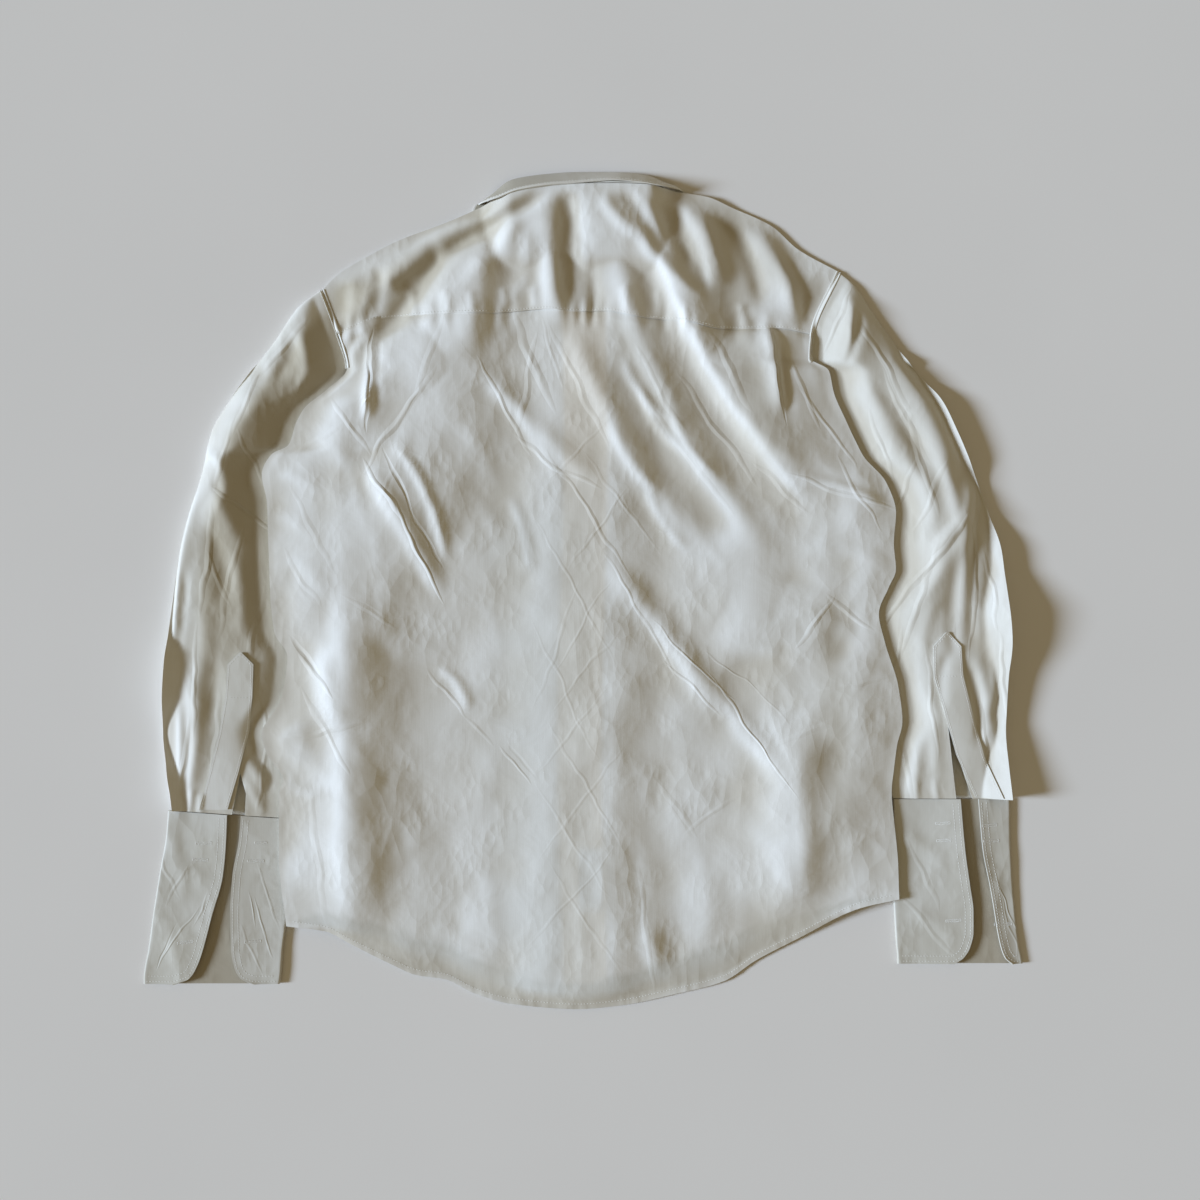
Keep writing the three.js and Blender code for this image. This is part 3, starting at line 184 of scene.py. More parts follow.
# crisp creases, too narrow for the mesh, which the materials raise: (x0, y0, x1, y1, half width, height)
BACK_PRESSED = [
    (-196, 228, -200, 162, 2.6, -1.3), (177, 246, 186, 170, 2.6, -1.3), (28, 24, 54, -18, 2, 0.37),
    (54, -18, 84, -73, 1.9, 0.32), (84, -73, 122, -108, 1.9, 0.55), (77, -39, 129, -91, 1.6, 0.55),
    (129, -91, 188, -176, 1.6, 0.62), (122, -61, 157, -89, 1.4, 0.27),
    (157, -89, 190, -122, 1.4, 0.14), (-139, -80, -115, -112, 2.3, 0.44),
    (-106, -122, -87, -141, 2.3, 0.23), (-73, -150, -52, -178, 2, 0.42),
    (-66, -146, -46, -171, 2.3, -0.2), (77, -188, 104, -222, 2.9, 0.25),
    (104, -222, 139, -197, 2.9, 0.25), (-199, 113, -168, 66, 3.2, 1.26),
    (-168, 66, -136, 2, 2.5, 1.17), (-179, 121, -158, 71, 2.3, -0.68),
    (-158, 71, -134, 29, 2.1, -0.53), (-89, 202, -55, 140, 2.7, 0.69),
    (-55, 140, -21, 113, 2.5, 0.64), (-21, 113, 11, 100, 2.5, 0.48),
    (-228, 170, -202, 134, 2.9, 0.54), (-160, 174, -196, 121, 3.2, 0.66),
    (-175, 113, -190, 85, 2.5, 0.22), (-143, 198, -174, 151, 3.2, 0.32),
    (-59, 245, -33, 179, 4.6, 0.74), (-33, 245, -21, 194, 2.3, 0.23),
    (-44, 226, -59, 160, 3.4, 0.48), (-21, 231, 16, 151, 3.4, 0.48), (16, 151, -21, 113, 2, 0.17),
    (-21, 113, 35, 29, 2.3, 0.44), (35, 85, -6, 29, 2, 0.17), (13, 113, 63, 47, 2.1, 0.21),
    (-33, 47, 20, -47, 2, 0.2), (20, 0, -21, -65, 1.9, 0.16), (-10, -9, -40, -94, 1.9, 0.16),
    (28, -47, -21, -103, 1.9, 0.16), (-40, -47, 7, -141, 1.9, 0.16),
    (16, -103, -33, -159, 1.9, 0.16), (-21, -141, 28, -225, 2, 0.2),
    (28, -159, -29, -235, 1.9, 0.16), (-33, -197, 16, -272, 1.9, 0.16),
    (20, -253, -40, -319, 1.9, 0.16), (-21, -272, 28, -347, 2, 0.17),
    (54, -272, 65, -362, 2.9, 0.28), (-217, -9, -179, -30, 2.5, 0.22),
    (167, 113, 204, 79, 2.9, 0.54), (204, 104, 280, 80, 2.5, 0.7), (242, 113, 272, 66, 2.3, 0.44),
    (186, -141, 242, -122, 3.2, 0.27), (223, -94, 280, -84, 2.9, 0.28),
    (204, -47, 229, -13, 2.9, 0.6), (233, -9, 263, -33, 2.9, 0.6), (-260, -65, -237, -94, 3.4, 1),
    (-266, -136, -217, -127, 3.2, 0.66), (-269, -47, -249, -73, 3.2, -0.87),
    (-256, -103, -223, -159, 3.2, 0.6), (-254, -197, -241, -291, 4.3, 0.37),
    (-266, 85, -237, 29, 3.2, 0.27), (-275, 29, -249, -9, 3.2, 0.32),
    (-266, 132, -228, 151, 3.2, 0.32), (73, 160, 129, 85, 3.4, 0.34), (101, 188, 152, 113, 3.2, 0.6),
    (54, 217, 88, 160, 3.4, 0.34), (125, 231, 152, 179, 4.6, 0.64), (195, 217, 217, 160, 2.5, 0.48),
    (210, 179, 248, 123, 2.5, 0.48), (-134, 245, -153, 188, 3.4, 0.3)]
SLEEVE_PRESSED = [
    (-337, 91, -296, 61, 2.9, 0.92), (-266, 245, -296, 205, 3.6, 0.61),
    (-301, 200, -322, 151, 3.2, 0.55), (-326, 151, -341, 104, 3.2, 0.48),
    (-347, 66, -354, -9, 3.6, 0.69), (-322, 47, -335, -28, 3.6, 0.53),
    (-301, -9, -313, -84, 3.2, 0.48), (-360, -47, -363, -122, 2.9, 0.55),
    (-339, -103, -347, -169, 3.2, 0.48), (-301, -94, -292, -159, 2.9, 0.49),
    (-296, -141, -301, -197, 2.6, 0.44), (-369, -131, -375, -197, 2.9, 0.61),
    (-348, 29, -330, -9, 2.6, 0.39), (-316, 141, -301, 104, 2.6, 0.44),
    (355, 61, 280, -33, 3.2, 0.97), (370, 92, 363, -37, 2.9, 0.86), (389, -51, 395, -109, 2.6, 0.67),
    (261, 245, 298, 179, 3.6, 0.69), (283, 198, 317, 132, 3.2, 0.55), (308, 151, 327, 85, 3.2, 0.55),
    (327, 29, 303, -47, 3.2, 0.55), (298, -47, 289, -103, 2.9, 0.49),
    (323, -65, 330, -141, 2.9, 0.49), (345, -47, 340, -122, 2.9, 0.43),
    (369, -103, 381, -178, 2.6, 0.55), (298, -122, 306, -188, 2.9, 0.43),
    (289, 66, 310, 113, 2.9, 0.49), (270, 160, 289, 113, 2.6, 0.5), (378, 29, 385, -28, 2.6, 0.5),
    (248, 273, 229, 231, 2.6, 0.61), (315, 66, 336, 113, 2.9, 0.49)]
CUFF_PRESSED = [
    (-354, -286, -364, -311, 1.2, 0.29), (-367, -306, -397, -353, 1.3, 0.38),
    (-382, -319, -399, -355, 1.3, -0.28), (-313, -286, -308, -311, 1.2, 0.29),
    (-307, -293, -297, -329, 1.3, 0.35), (-297, -329, -291, -341, 1.2, 0.26),
    (389, -271, 409, -327, 1.3, 0.35), (394, -291, 405, -338, 1.2, 0.22),
    (-397, -244, -382, -282, 2.3, 0.31), (-373, -263, -388, -291, 2, 0.28),
    (310, -244, 330, -291, 2.8, 0.31), (303, -291, 345, -338, 3, 0.33),
    (-301, -263, -288, -310, 1.8, 0.24), (-318, -319, -301, -353, 1.8, 0.24)]

SLEEVE_COLUMNS = "outer_x outer_y inner_x inner_y puff"
LEFT_SLEEVE = {
    "side": -1,
    "skew": 0.65,
    # share of painted shade on the sleeve's inner slope, which faces away from the light
    "dull": 0.9,
    "rise": 1.5,
    "rows": table(SLEEVE_COLUMNS, [
        (-246, 282, -221, 209, 1), (-266, 266, -224, 190, 8), (-289, 233, -244, 170, 11),
        (-311, 204, -255, 153, 12), (-330, 179, -263, 134, 12), (-348, 148, -279, 117, 12),
        (-357, 109, -284, 94, 12), (-369, 71, -283, 64, 11), (-378, 33, -282, 29, 9),
        (-383, -9, -279, -9, 9), (-387, -47, -271, -47, 9), (-391, -100, -270, -100, 9),
        (-392, -134, -286, -134, 8), (-386, -178, -271, -178, 6), (-383, -206, -273, -214, 3)]),
    "folds": table(FOLD_COLUMNS, [
        (-338, 92, -296, 60, 0, 14, 6, -0.4), (-366, 90, -382, -60, -4, 10, 4),
        (-258, 240, -262, 175, 6, 12, 5, 0.3), (-300, 190, -330, 110, -6, 14, 5),
        (-360, -90, -372, -190, 4, 10, 4), (-300, -110, -294, -190, 0, 12, 4),
        (-250, 240, -250, 210, 3, 5, -3), (-270, 236, -286, 196, 4, 7, -2.5),
        (-342, 98, -300, 56, 0, 4, -2.4), (-332, 84, -298, 52, 3, 4, 2.2),
        (-352, 130, -322, 92, 5, 6, 2.0), (-318, 120, -300, 78, 4, 6, -2.2),
        (-346, 56, -336, -12, 5, 9, -2.2), (-322, 30, -318, -40, 4, 8, 2.0),
        (-306, 10, -300, -60, 4, 7, -1.8), (-372, 20, -380, -60, 3, 5, -1.6),
        (-352, -20, -362, -90, 4, 8, 1.6), (-376, -110, -380, -196, 2, 4, 1.8),
        (-366, -130, -376, -200, 2, 4, -1.8), (-344, -60, -352, -130, 3, 7, -1.4),
        (-304, -90, -298, -150, 3, 5, 1.8), (-290, -120, -286, -200, 2, 6, 1.6),
        (-314, -176, -300, -206, 0, 4, 1.2), (-364, -186, -368, -208, 0, 3, 1.4),
        (-356, -190, -358, -208, 0, 3, 1.4), (-300, 212, -322, 160, 5, 8, -1.8)]),
    "placket": table("y left right", [
        (-58, -320, -318), (-69, -331, -307), (-100, -333, -308), (-133, -339, -312),
        (-169, -348, -321), (-205, -358, -332)]),
    "slit": [(-320, -171), (-331, -222), (-317, -222), (-315, -190)],
}
RIGHT_SLEEVE = {
    "side": 1,
    "skew": 1.0,
    # share of painted shade on the sleeve's inner slope, which faces away from the light
    "dull": 0.25,
    "rise": 0.95,
    "rows": table(SLEEVE_COLUMNS, [
        (242, 298, 213, 217, 1), (255, 286, 218, 204, 7), (268, 266, 222, 190, 10),
        (284, 243, 228, 174, 12), (301, 219, 236, 153, 13), (318, 198, 248, 131, 13),
        (335, 178, 263, 109, 13), (350, 148, 275, 90, 13), (370, 100, 283, 64, 13),
        (381, 69, 281, 40, 12), (391, 36, 282, 14, 12), (396, -13, 267, -20, 11),
        (399, -51, 270, -51, 10), (397, -80, 284, -80, 9), (396, -109, 289, -109, 9),
        (395, -136, 284, -136, 8), (397, -164, 283, -164, 6), (400, -195, 291, -195, 3)]),
    "folds": table(FOLD_COLUMNS, [
        (357, 66, 282, -34, -5, 13, 7, 0.4), (368, 98, 364, -38, -5, 10, 5),
        (250, 270, 232, 200, 6, 11, 5, 0.3), (290, 215, 345, 110, 5, 14, 5),
        (388, -50, 386, -110, 0, 9, 4), (310, -95, 300, -180, 0, 12, 4),
        (258, 262, 240, 206, 5, 6, -3.5), (246, 250, 236, 216, 3, 4, 2.4),
        (352, 54, 290, -34, -5, 5, -2.6, 0.2), (276, 190, 318, 110, 5, 8, -2.4),
        (306, 150, 336, 70, 6, 9, -2.2), (334, 120, 350, 60, 4, 7, 2.0), (300, 100, 316, 30, 4, 8, 1.8),
        (352, 30, 346, -60, -4, 7, -2.0), (370, 92, 363, -47, -3, 7, -5.0),
        (330, -6, 318, -60, -4, 7, 1.8), (300, -40, 306, -100, 4, 7, -1.6),
        (368, -60, 380, -150, 4, 6, 2.0), (360, -70, 370, -140, 4, 5, -1.8),
        (386, -120, 388, -186, 1, 4, 1.8), (378, -140, 384, -190, 1, 4, -1.4),
        (322, -100, 330, -170, 3, 6, 1.6), (304, -120, 310, -190, 2, 6, 1.4),
        (340, -60, 334, -108, -3, 6, -1.4), (330, -176, 332, -196, 0, 3, 1.2),
        (312, -178, 313, -196, 0, 3, 1.2)]),
    "placket": table("y left right", [
        (-39, 339, 341), (-52, 327, 353), (-80, 328, 355), (-116, 338, 364),
        (-154, 349, 375), (-194, 368, 392)]),
    "slit": [(341, -127), (351, -204), (368, -204)],
}

CUFF_COLUMNS = "y fold_left leaf_left leaf_right fold_right drop"
LEFT_CUFF = table(CUFF_COLUMNS, [
    (-206.6, -389, -333, -320, -273, 8), (-231, -391, -334, -322, -274, 6),
    (-265, -397, -337, -328, -275, 4), (-303, -403, -347, -330, -277, 2),
    (-338, -408, -356, -329, -281, 0), (-354, -411, -362, -326, -282, 0),
    (-364, -412, -369, -320, -283, 0), (-369, -412, -384, -308, -284, 0)])
RIGHT_CUFF = table(CUFF_COLUMNS, [
    (-195.6, 291, 354, 371, 401, 0), (-243, 291, 358, 375, 402, 0),
    (-278, 291, 363, 382, 404, 0), (-301, 292, 366, 386, 406, 0),
    (-320, 293, 366, 389, 408, 0), (-334, 294, 363, 392, 410, 0),
    (-344, 295, 357, 396, 412, 0), (-350, 295, 348, 403, 413, 0)])
CUFF_CREASES = table(FOLD_COLUMNS, [
    (300, -230, 340, -260, 4, 8.0, 1.0), (310, -300, 350, -330, 3, 7.0, 0.8),
    (-384, -230, -376, -290, 3, 7.0, 0.8), (-398, -300, -380, -350, 3, 6.0, 0.8),
    (-395, -262, -350, -270, 3, 8.0, 0.9), (-392, -325, -360, -318, 3, 7.0, -0.7)])

# buttonholes of the cuffs: from (x, y) to (x, y)
LEFT_HOLES = [
    (-362.5, -237.4, -347.5, -236.5), (-365.3, -252.5, -351.2, -252.5),
    (-379.4, -330.5, -364.4, -328.6), (-307.1, -236.5, -295.8, -236.5),
    (-313.6, -253.4, -298.6, -253.4), (-316.5, -329.6, -301.4, -328.6)]
RIGHT_HOLES = [
    (331.2, -218.6, 344.4, -217.7), (332.1, -234.6, 345.3, -233.7), (340.6, -309.8, 354.7, -308.9),
    (374.4, -220.5, 388.5, -219.6), (375.4, -234.6, 390.4, -234.6), (386.7, -313.6, 402.6, -312.6)]

BAND_COLUMNS = "edge_x edge_y edge_z fold_x fold_y fold_z"
COLLAR_LEAF = table(BAND_COLUMNS, [
    (-44, 262, 0, -21, 329, 0), (-80, 290, 0, -48, 333, 0), (-101, 320, 0, -72, 341, 0),
    (-106, 345, 0, -86, 350, 0), (-99, 363, 0.6, -90, 365, 0), (-95, 362.5, 9, -87, 369, 2),
    (-80, 364.8, 19.5, -80, 376, 4), (-60, 371.4, 22.4, -66, 385, 5), (-30, 376.4, 23, -36, 390, 5),
    (-5, 378.2, 23, -6, 392, 5), (28, 380.4, 24, 32, 392, 5), (52, 378.9, 23, 60, 389, 5),
    (72, 376.4, 20, 76, 383, 4), (91, 375, 9, 84, 380, 2), (96, 375, 0.6, 87, 377, 0),
    (106, 352, 0, 84, 356, 0), (101, 322, 0, 72, 342, 0), (80, 290, 0, 48, 333, 0),
    (44, 262, 0, 21, 329, 0)])
COLLAR_STAND = table(BAND_COLUMNS, [
    (1, 302, 2.4, 1, 327, 2.4), (-36, 310, 2.4, -32, 331, 2.4), (-64, 327, 2.4, -56, 339, 2.4),
    (-80, 348, 2.4, -72, 352, 2.4), (-82, 366.5, 9, -78, 368, 4), (-58, 374, 16.5, -62, 380, 5),
    (-30, 378.6, 17, -34, 385, 5), (0, 379.6, 17.5, 0, 387, 5), (30, 379.2, 21.5, 32, 387, 5),
    (56, 378.6, 20.5, 60, 383, 5), (76, 377.4, 9, 73, 378, 4), (78, 352, 2.4, 71, 356, 2.4),
    (64, 330, 2.4, 56, 341, 2.4), (36, 311, 2.4, 32, 331, 2.4), (3, 302, 2.4, 3, 327, 2.4)])


# ---- curves and heights ----
def smooth(start, end, value):
    t = np.clip((value - start) / (end - start), 0.0, 1.0)
    return t * t * (3.0 - 2.0 * t)


def mix(a, b, t):
    return a + (b - a) * t


def joined(*columns):
    """Arrays side by side, as the coordinates of points."""
    return np.stack(np.broadcast_arrays(*columns), axis=-1)


def through(knots, values, at):
    """A smooth curve through points, which never swings past them."""
    order = np.argsort(knots)
    x, y = knots[order], values[order]
    step = np.diff(x)
    slope = np.diff(y) / step
    tangent = np.empty_like(y)
    tangent[0], tangent[-1] = slope[0], slope[-1]
    same_way = slope[:-1] * slope[1:] > 0
    safe = np.where(same_way, slope[:-1] + slope[1:], 1.0)
    tangent[1:-1] = np.where(same_way, 2.0 * slope[:-1] * slope[1:] / safe, 0.0)
    at = np.clip(at, x[0], x[-1])
    k = np.clip(np.searchsorted(x, at) - 1, 0, len(x) - 2)
    t = (at - x[k]) / step[k]
    return ((2 * t ** 3 - 3 * t ** 2 + 1) * y[k] + (t ** 3 - 2 * t ** 2 + t) * step[k] * tangent[k]
            + (3 * t ** 2 - 2 * t ** 3) * y[k + 1] + (t ** 3 - t ** 2) * step[k] * tangent[k + 1])


def rows_at(rows, knots, at):
    """Every column of a table, read along smooth curves over the knots."""
    return {name: through(knots, values, at) for name, values in rows.items()}


def row_of(rows, k):
    return {name: values[k] for name, values in rows.items()}


def line_of(rows, knots, values):
    """The curve through two columns of a table, as a function."""
    return lambda at: through(rows[knots], rows[values], at)


left_edge = line_of(BODY, "left_y", "left_x")
right_edge = line_of(BODY, "right_y", "right_x")
back_hem = line_of(BACK_HEM, "x", "y")
front_hem_rise = line_of(FRONT_HEM_RISE, "x", "y")
yoke_seam = line_of(YOKE_SEAM, "x", "y")
shoulder_line = line_of(SHOULDER, "x", "y")


def side_edge(side, y):
    """The body's left edge for side -1 and its right edge for side 1."""
    return left_edge(y) if side < 0 else right_edge(y)


def front_hem(x):
    return back_hem(x) + front_hem_rise(x)


def fold_height(folds, x, y):
    """Height of all the ridges and troughs of a table over the points (x, y)."""
    total = np.zeros(np.broadcast(x, y).shape)
    for k in range(len(folds["x0"])):
        x0, y0, x1, y1, bow, width, height, lean = (folds[name][k] for name in FOLD_COLUMNS.split())
        dx, dy = x1 - x0, y1 - y0
        length = math.hypot(dx, dy)
        t = ((x - x0) * dx + (y - y0) * dy) / length ** 2
        inside = np.clip(t, 0.0, 1.0)
        off = ((y - y0) * dx - (x - x0) * dy) / length - bow * 4.0 * inside * (1.0 - inside)
        spread = width * np.where(off > 0, 1.0 + lean, 1.0 - lean)
        ends = smooth(*FOLD_START, t) * (1.0 - smooth(*FOLD_END, t))
        total += height * ends * np.exp(-(off / spread) ** 2)
    return total


def ripple(x, y, seed):
    """Shallow waves of several lengths, so that no stretch of cloth is quite flat."""
    total = np.zeros(np.broadcast(x, y).shape)
    turn = seed
    for length, height in RIPPLES:
        for _ in range(3):
            turn = turn * 1.7 + 0.9          # any numbers that scatter the headings would do
            heading = math.sin(turn) * math.pi
            across = x * math.sin(turn * 2) + y * math.cos(turn * 2)
            phase = turn * 5.3 + np.sin(across / (1.9 * length))
            along = x * math.cos(heading) + y * math.sin(heading)
            total += height * np.sin(along * math.tau / length + phase)
    return total


def front_underside(x, y, centre_z, spread=0.0):
    """Underside of a front: up on the sleeves, the buttons and the collar's points."""
    inside = np.minimum(x - left_edge(y), right_edge(y) - x) - spread
    below = 1.0 - smooth(ARMHOLE_LOW + spread, ARMHOLE_HIGH + spread, y)
    side = TUCK_LIFT * below * (1.0 - smooth(TUCK_FLAT, TUCK_RAMP, inside))
    neck = NECK_LIFT * (1.0 - smooth(*NECK_SIDE, np.abs(x) - spread)) * smooth(*NECK_FRONT, y + spread)
    centre = centre_z * (1.0 - smooth(PLACKET_HALF, CENTRE_RAMP, np.abs(x) - spread))
    return np.maximum(np.maximum(side, neck), centre)


def back_underside(x, y, creases):
    """Underside of the back and the yoke: what they lie on, and their own folds above it."""
    front_top = front_underside(x, y, RIGHT_FRONT_Z, LAYER_SPREAD) + CLOTH
    inside = np.minimum(x - left_edge(y), right_edge(y) - x)
    from_top, from_hem = shoulder_line(x) - y, y - back_hem(x)
    below = 1.0 - smooth(ARMHOLE_LOW + LAYER_SPREAD, ARMHOLE_HIGH + LAYER_SPREAD, y)
    bridge = (TUCK_LIFT + CLOTH) * below * (1.0 - smooth(*BRIDGE_RAMP, inside))
    support = np.maximum(front_top, bridge) * (1.0 - smooth(*HEM_DROP, front_hem(x) - y))
    room = smooth(*FOLD_SIDE, inside) * smooth(*FOLD_TOP, from_top) * smooth(*FOLD_HEM, from_hem)
    relief = room * np.maximum(RELIEF_LEAST, RELIEF_BASE + fold_height(BACK_FOLDS, x, y))
    neck = NECK_RISE * (1.0 - smooth(*NECK_ACROSS, np.abs(x - NECK_MIDDLE))) * smooth(*NECK_UP, y)
    fine_room = smooth(*CREASE_SIDE, inside) * smooth(*CREASE_TOP, from_top)
    fine = fine_room * smooth(*CREASE_HEM, from_hem) * (fold_height(creases, x, y) + ripple(x, y, BODY_SEED))
    lowest = support * LEAST_SUPPORT + SEAM_GAP
    return np.maximum(np.maximum(support + SEAM_GAP + relief, neck + relief * NECK_RELIEF) + fine, lowest)


# ---- making sheets ----
def select_only(piece):
    bpy.ops.object.select_all(action="DESELECT")
    piece.select_set(True)
    bpy.context.view_layer.objects.active = piece


def edit_mesh(piece, operation, **settings):
    """Runs one mesh operator over the whole of a piece."""
    select_only(piece)
    bpy.ops.object.mode_set(mode="EDIT")
    bpy.ops.mesh.select_all(action="SELECT")
    operation(**settings)
    bpy.ops.object.mode_set(mode="OBJECT")


def cut_away(piece, tool):
    """Takes a closed tool out of a piece, and removes the tool."""
    select_only(piece)
    cut = piece.modifiers.new("cut", "BOOLEAN")
    cut.operation = "DIFFERENCE"
    cut.object = tool
    bpy.ops.object.modifier_apply(modifier=cut.name)
    bpy.data.objects.remove(tool)


def lay_grid(name, points):
    """A grid of cloth whose vertices lie at points[row, column], in millimetres."""
    rows, columns = points.shape[:2]
    bpy.ops.object.select_all(action="DESELECT")
    bpy.ops.mesh.primitive_grid_add(x_subdivisions=columns - 1, y_subdivisions=rows - 1, size=1.0)
    piece = bpy.context.active_object
    piece.name = piece.data.name = name
    piece.data.vertices.foreach_set("co", (points.reshape(-1, 3) * MM).ravel())
    piece.data.update()
    return piece


def give_wall(piece, thickness):
    """Turns a sheet into a wall below its face, and smooths it."""
    select_only(piece)
    wall = piece.modifiers.new("wall", "SOLIDIFY")
    wall.thickness = thickness * MM
    wall.offset = -1.0
    bpy.ops.object.modifier_apply(modifier=wall.name)
    bpy.ops.object.shade_smooth_by_angle(angle=math.radians(CLOTH_SHARP))


def add_masks(piece, **masks):
    """Stores a value for each vertex, which the materials read by the mask's name."""
    for name, values in masks.items():
        layer = piece.data.attributes.new(name, "FLOAT", "POINT")
        layer.data.foreach_set("value", np.asarray(values, np.float32).ravel())


def blurred(values, reach):
    """Mean over a square of grid points, twice, which is a soft blur."""
    for _ in range(2):
        for axis in (0, 1):
            pad = [(reach, reach) if k == axis else (0, 0) for k in (0, 1)]
            total = np.cumsum(np.pad(values, pad, mode="edge"), axis=axis)
            length = values.shape[axis]
            near = np.take(total, range(length), axis=axis)
            far = np.take(total, range(2 * reach, 2 * reach + length), axis=axis)
            values = (far - near) / (2 * reach)
    return values


def hollow_mask(z):
    """Mask of painted shade: 1 deep between folds, 0 on their tops."""
    total = 0.0
    for reach, depth, share in HOLLOW_SHADE_SETS:
        total += share * np.clip((blurred(z, reach) - z) / depth, 0.0, 1.0)
    return np.clip(total, 0.0, 1.0)


# painted shade on the slopes that face away from the light, from its table of bands
def dull_mask(x, y):
    return np.clip(fold_height(SLOPE_SHADE_BANDS, x, y), 0, 1)


def finish_piece(piece, node, material, wall=None):
    """Gives a piece its wall if it is a sheet, its material, and its place in the part."""
    if wall:
        give_wall(piece, wall)
    piece.data.materials.clear()
    piece.data.materials.append(material)
    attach(piece, "root")
    if node:
        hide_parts(node)
    return piece


# ---- materials: shared effects are groups that put out heights, and a slub mask for tone and roughness ----
# scales are counts for each metre; heights are millimetres, those of weft and slubs shares of the warp's
WARP_SCALE, WEFT_SCALE, SLUB_SCALE = (2600.0, 90.0, 90.0), (110.0, 2300.0, 110.0), (620.0, 14.0, 14.0)
WEFT_HEIGHT, SLUB_HEIGHT, THREAD_DEPTH = 0.6, 1.2, 0.06
FACET_SETS = ((21.0, 1.9), (47.0, 1.0), (104.0, 0.42))
FACET_STRETCH = (1.3, 0.8, 1.0)
PATCH_SHARE, PATCH_EDGE = 0.3, (0.42, 0.70)
SWELL_SCALE, SWELL_HEIGHT = 22.0, 1.2
BEND_SCALE, BEND = 28.0, 0.012       # creases wander by up to half of BEND, in metres
CREASE_REACH = 0.75                  # half length of a crease's tent for each unit of its own length
FLAT_Z = 1e6                         # so large that heights don't count as distance
TONE_SCALE, TONE_EDGE = 7.0, (0.32, 0.72)
SLUB_EDGE, SLUB_TONE = (0.35, 0.75), 0.22
ROUGH_LEAST, ROUGH_SPREAD = 0.52, 0.16
GRAIN_TONE = 0.93

IVORY_LIGHT, IVORY_DEEP = (0.850, 0.845, 0.812, 1.0), (0.800, 0.788, 0.742, 1.0)
# painted shade: the sleeves' cloth, also used by fronts, plackets, collar and armhole strips, is darker than
# the body's
ARM_SHADED_PALE, ARM_SHADED_DEEP = (0.810, 0.798, 0.748, 1.0), (0.730, 0.710, 0.640, 1.0)
# painted shade: the cuffs are the body's cloth, darker here for the shade that falls on them
CUFF_SHADED_PALE, CUFF_SHADED_DEEP = (0.690, 0.675, 0.620, 1.0), (0.610, 0.585, 0.510, 1.0)
# painted shade: tans for the hollows between folds and for slopes that face away from the light
HOLLOW_SHADE_TAN, SLOPE_SHADE_TAN = (0.560, 0.500, 0.390, 1.0), (0.470, 0.410, 0.290, 1.0)
# painted shade: tans for the cuffs' lower layer beneath their leaves and for the collar
UNDER_LEAF_SHADE_TAN, COLLAR_SHADE_TAN = (0.400, 0.345, 0.250, 1.0), (0.330, 0.290, 0.205, 1.0)
WARM_STRIP, THIN_GREY = (0.800, 0.715, 0.580, 1.0), (0.655, 0.650, 0.600, 1.0)
PALE_THREAD, SHELL_WHITE = (0.900, 0.885, 0.830, 1.0), (0.80, 0.77, 0.70, 1.0)
FLOOR_GREY = (0.86, 0.83, 0.79, 1.0)


def new_group(name, inputs, outputs):
    group = bpy.data.node_groups.new(name, "ShaderNodeTree")
    for label, kind, value in inputs:
        socket = group.interface.new_socket(name=label, in_out="INPUT", socket_type=kind)
        if value is not None:
            socket.default_value = value
    for label, kind in outputs:
        group.interface.new_socket(name=label, in_out="OUTPUT", socket_type=kind)
    return group, group.nodes.new("NodeGroupInput"), group.nodes.new("NodeGroupOutput")


def feed(tree, socket, value):
    """Links a node's output to a socket, or sets the socket's own value."""
    if isinstance(value, bpy.types.NodeSocket):
        tree.links.new(value, socket)
    else:
        socket.default_value = value


def add_node(tree, kind, inputs=None, **settings):
    node = tree.nodes.new(kind)
    for name, value in settings.items():
        setattr(node, name, value)
    for name, value in (inputs or {}).items():
        feed(tree, node.inputs[name], value)
    return node


def scaled(tree, source, scale):
    """Coordinates stretched by a Mapping node."""
    return add_node(tree, "ShaderNodeMapping", {"Vector": source, "Scale": scale}).outputs["Vector"]


def noise(tree, vector, scale, detail=2.0, roughness=0.5, distortion=0.0):
    return add_node(tree, "ShaderNodeTexNoise", {
        "Vector": vector, "Scale": scale, "Detail": detail,
        "Roughness": roughness, "Distortion": distortion}).outputs["Fac"]


def math_node(tree, operation, *values):
    return add_node(tree, "ShaderNodeMath", dict(enumerate(values)), operation=operation).outputs[0]


def ramp(tree, value, low, high):
    sockets = {"Value": value, "From Min": low, "From Max": high}
    return add_node(tree, "ShaderNodeMapRange", sockets, interpolation_type="SMOOTHSTEP").outputs["Result"]


def vector_sum(tree, first, factor, second):
    """first times factor, plus second."""
    sockets = {0: first, 1: factor, 2: second}
    return add_node(tree, "ShaderNodeVectorMath", sockets, operation="MULTIPLY_ADD").outputs["Vector"]


def mix_colour(tree, factor, first, second):
    return add_node(tree, "ShaderNodeMix", {0: factor, 6: first, 7: second}, data_type="RGBA").outputs[2]


def make_weave_group():
    """Fine poplin: warp threads with slubs, crossed by weft, and the soft bars of worn cotton."""
    group, source, target = new_group(
        "Poplin weave", [("Vector", "NodeSocketVector", None)],
        [("Height", "NodeSocketFloat"), ("Slub", "NodeSocketFloat")])
    vector = source.outputs["Vector"]
    warp = noise(group, scaled(group, vector, WARP_SCALE), 1.0, 1.0)
    weft = noise(group, scaled(group, vector, WEFT_SCALE), 1.0, 1.0)
    slub = noise(group, scaled(group, vector, SLUB_SCALE), 1.0, 3.0, 0.6)
    height = math_node(group, "ADD", warp, math_node(group, "MULTIPLY", weft, WEFT_HEIGHT))
    height = math_node(group, "ADD", height, math_node(group, "MULTIPLY", slub, SLUB_HEIGHT))
    feed(group, target.inputs["Height"], height)
    feed(group, target.inputs["Slub"], slub)
    return group


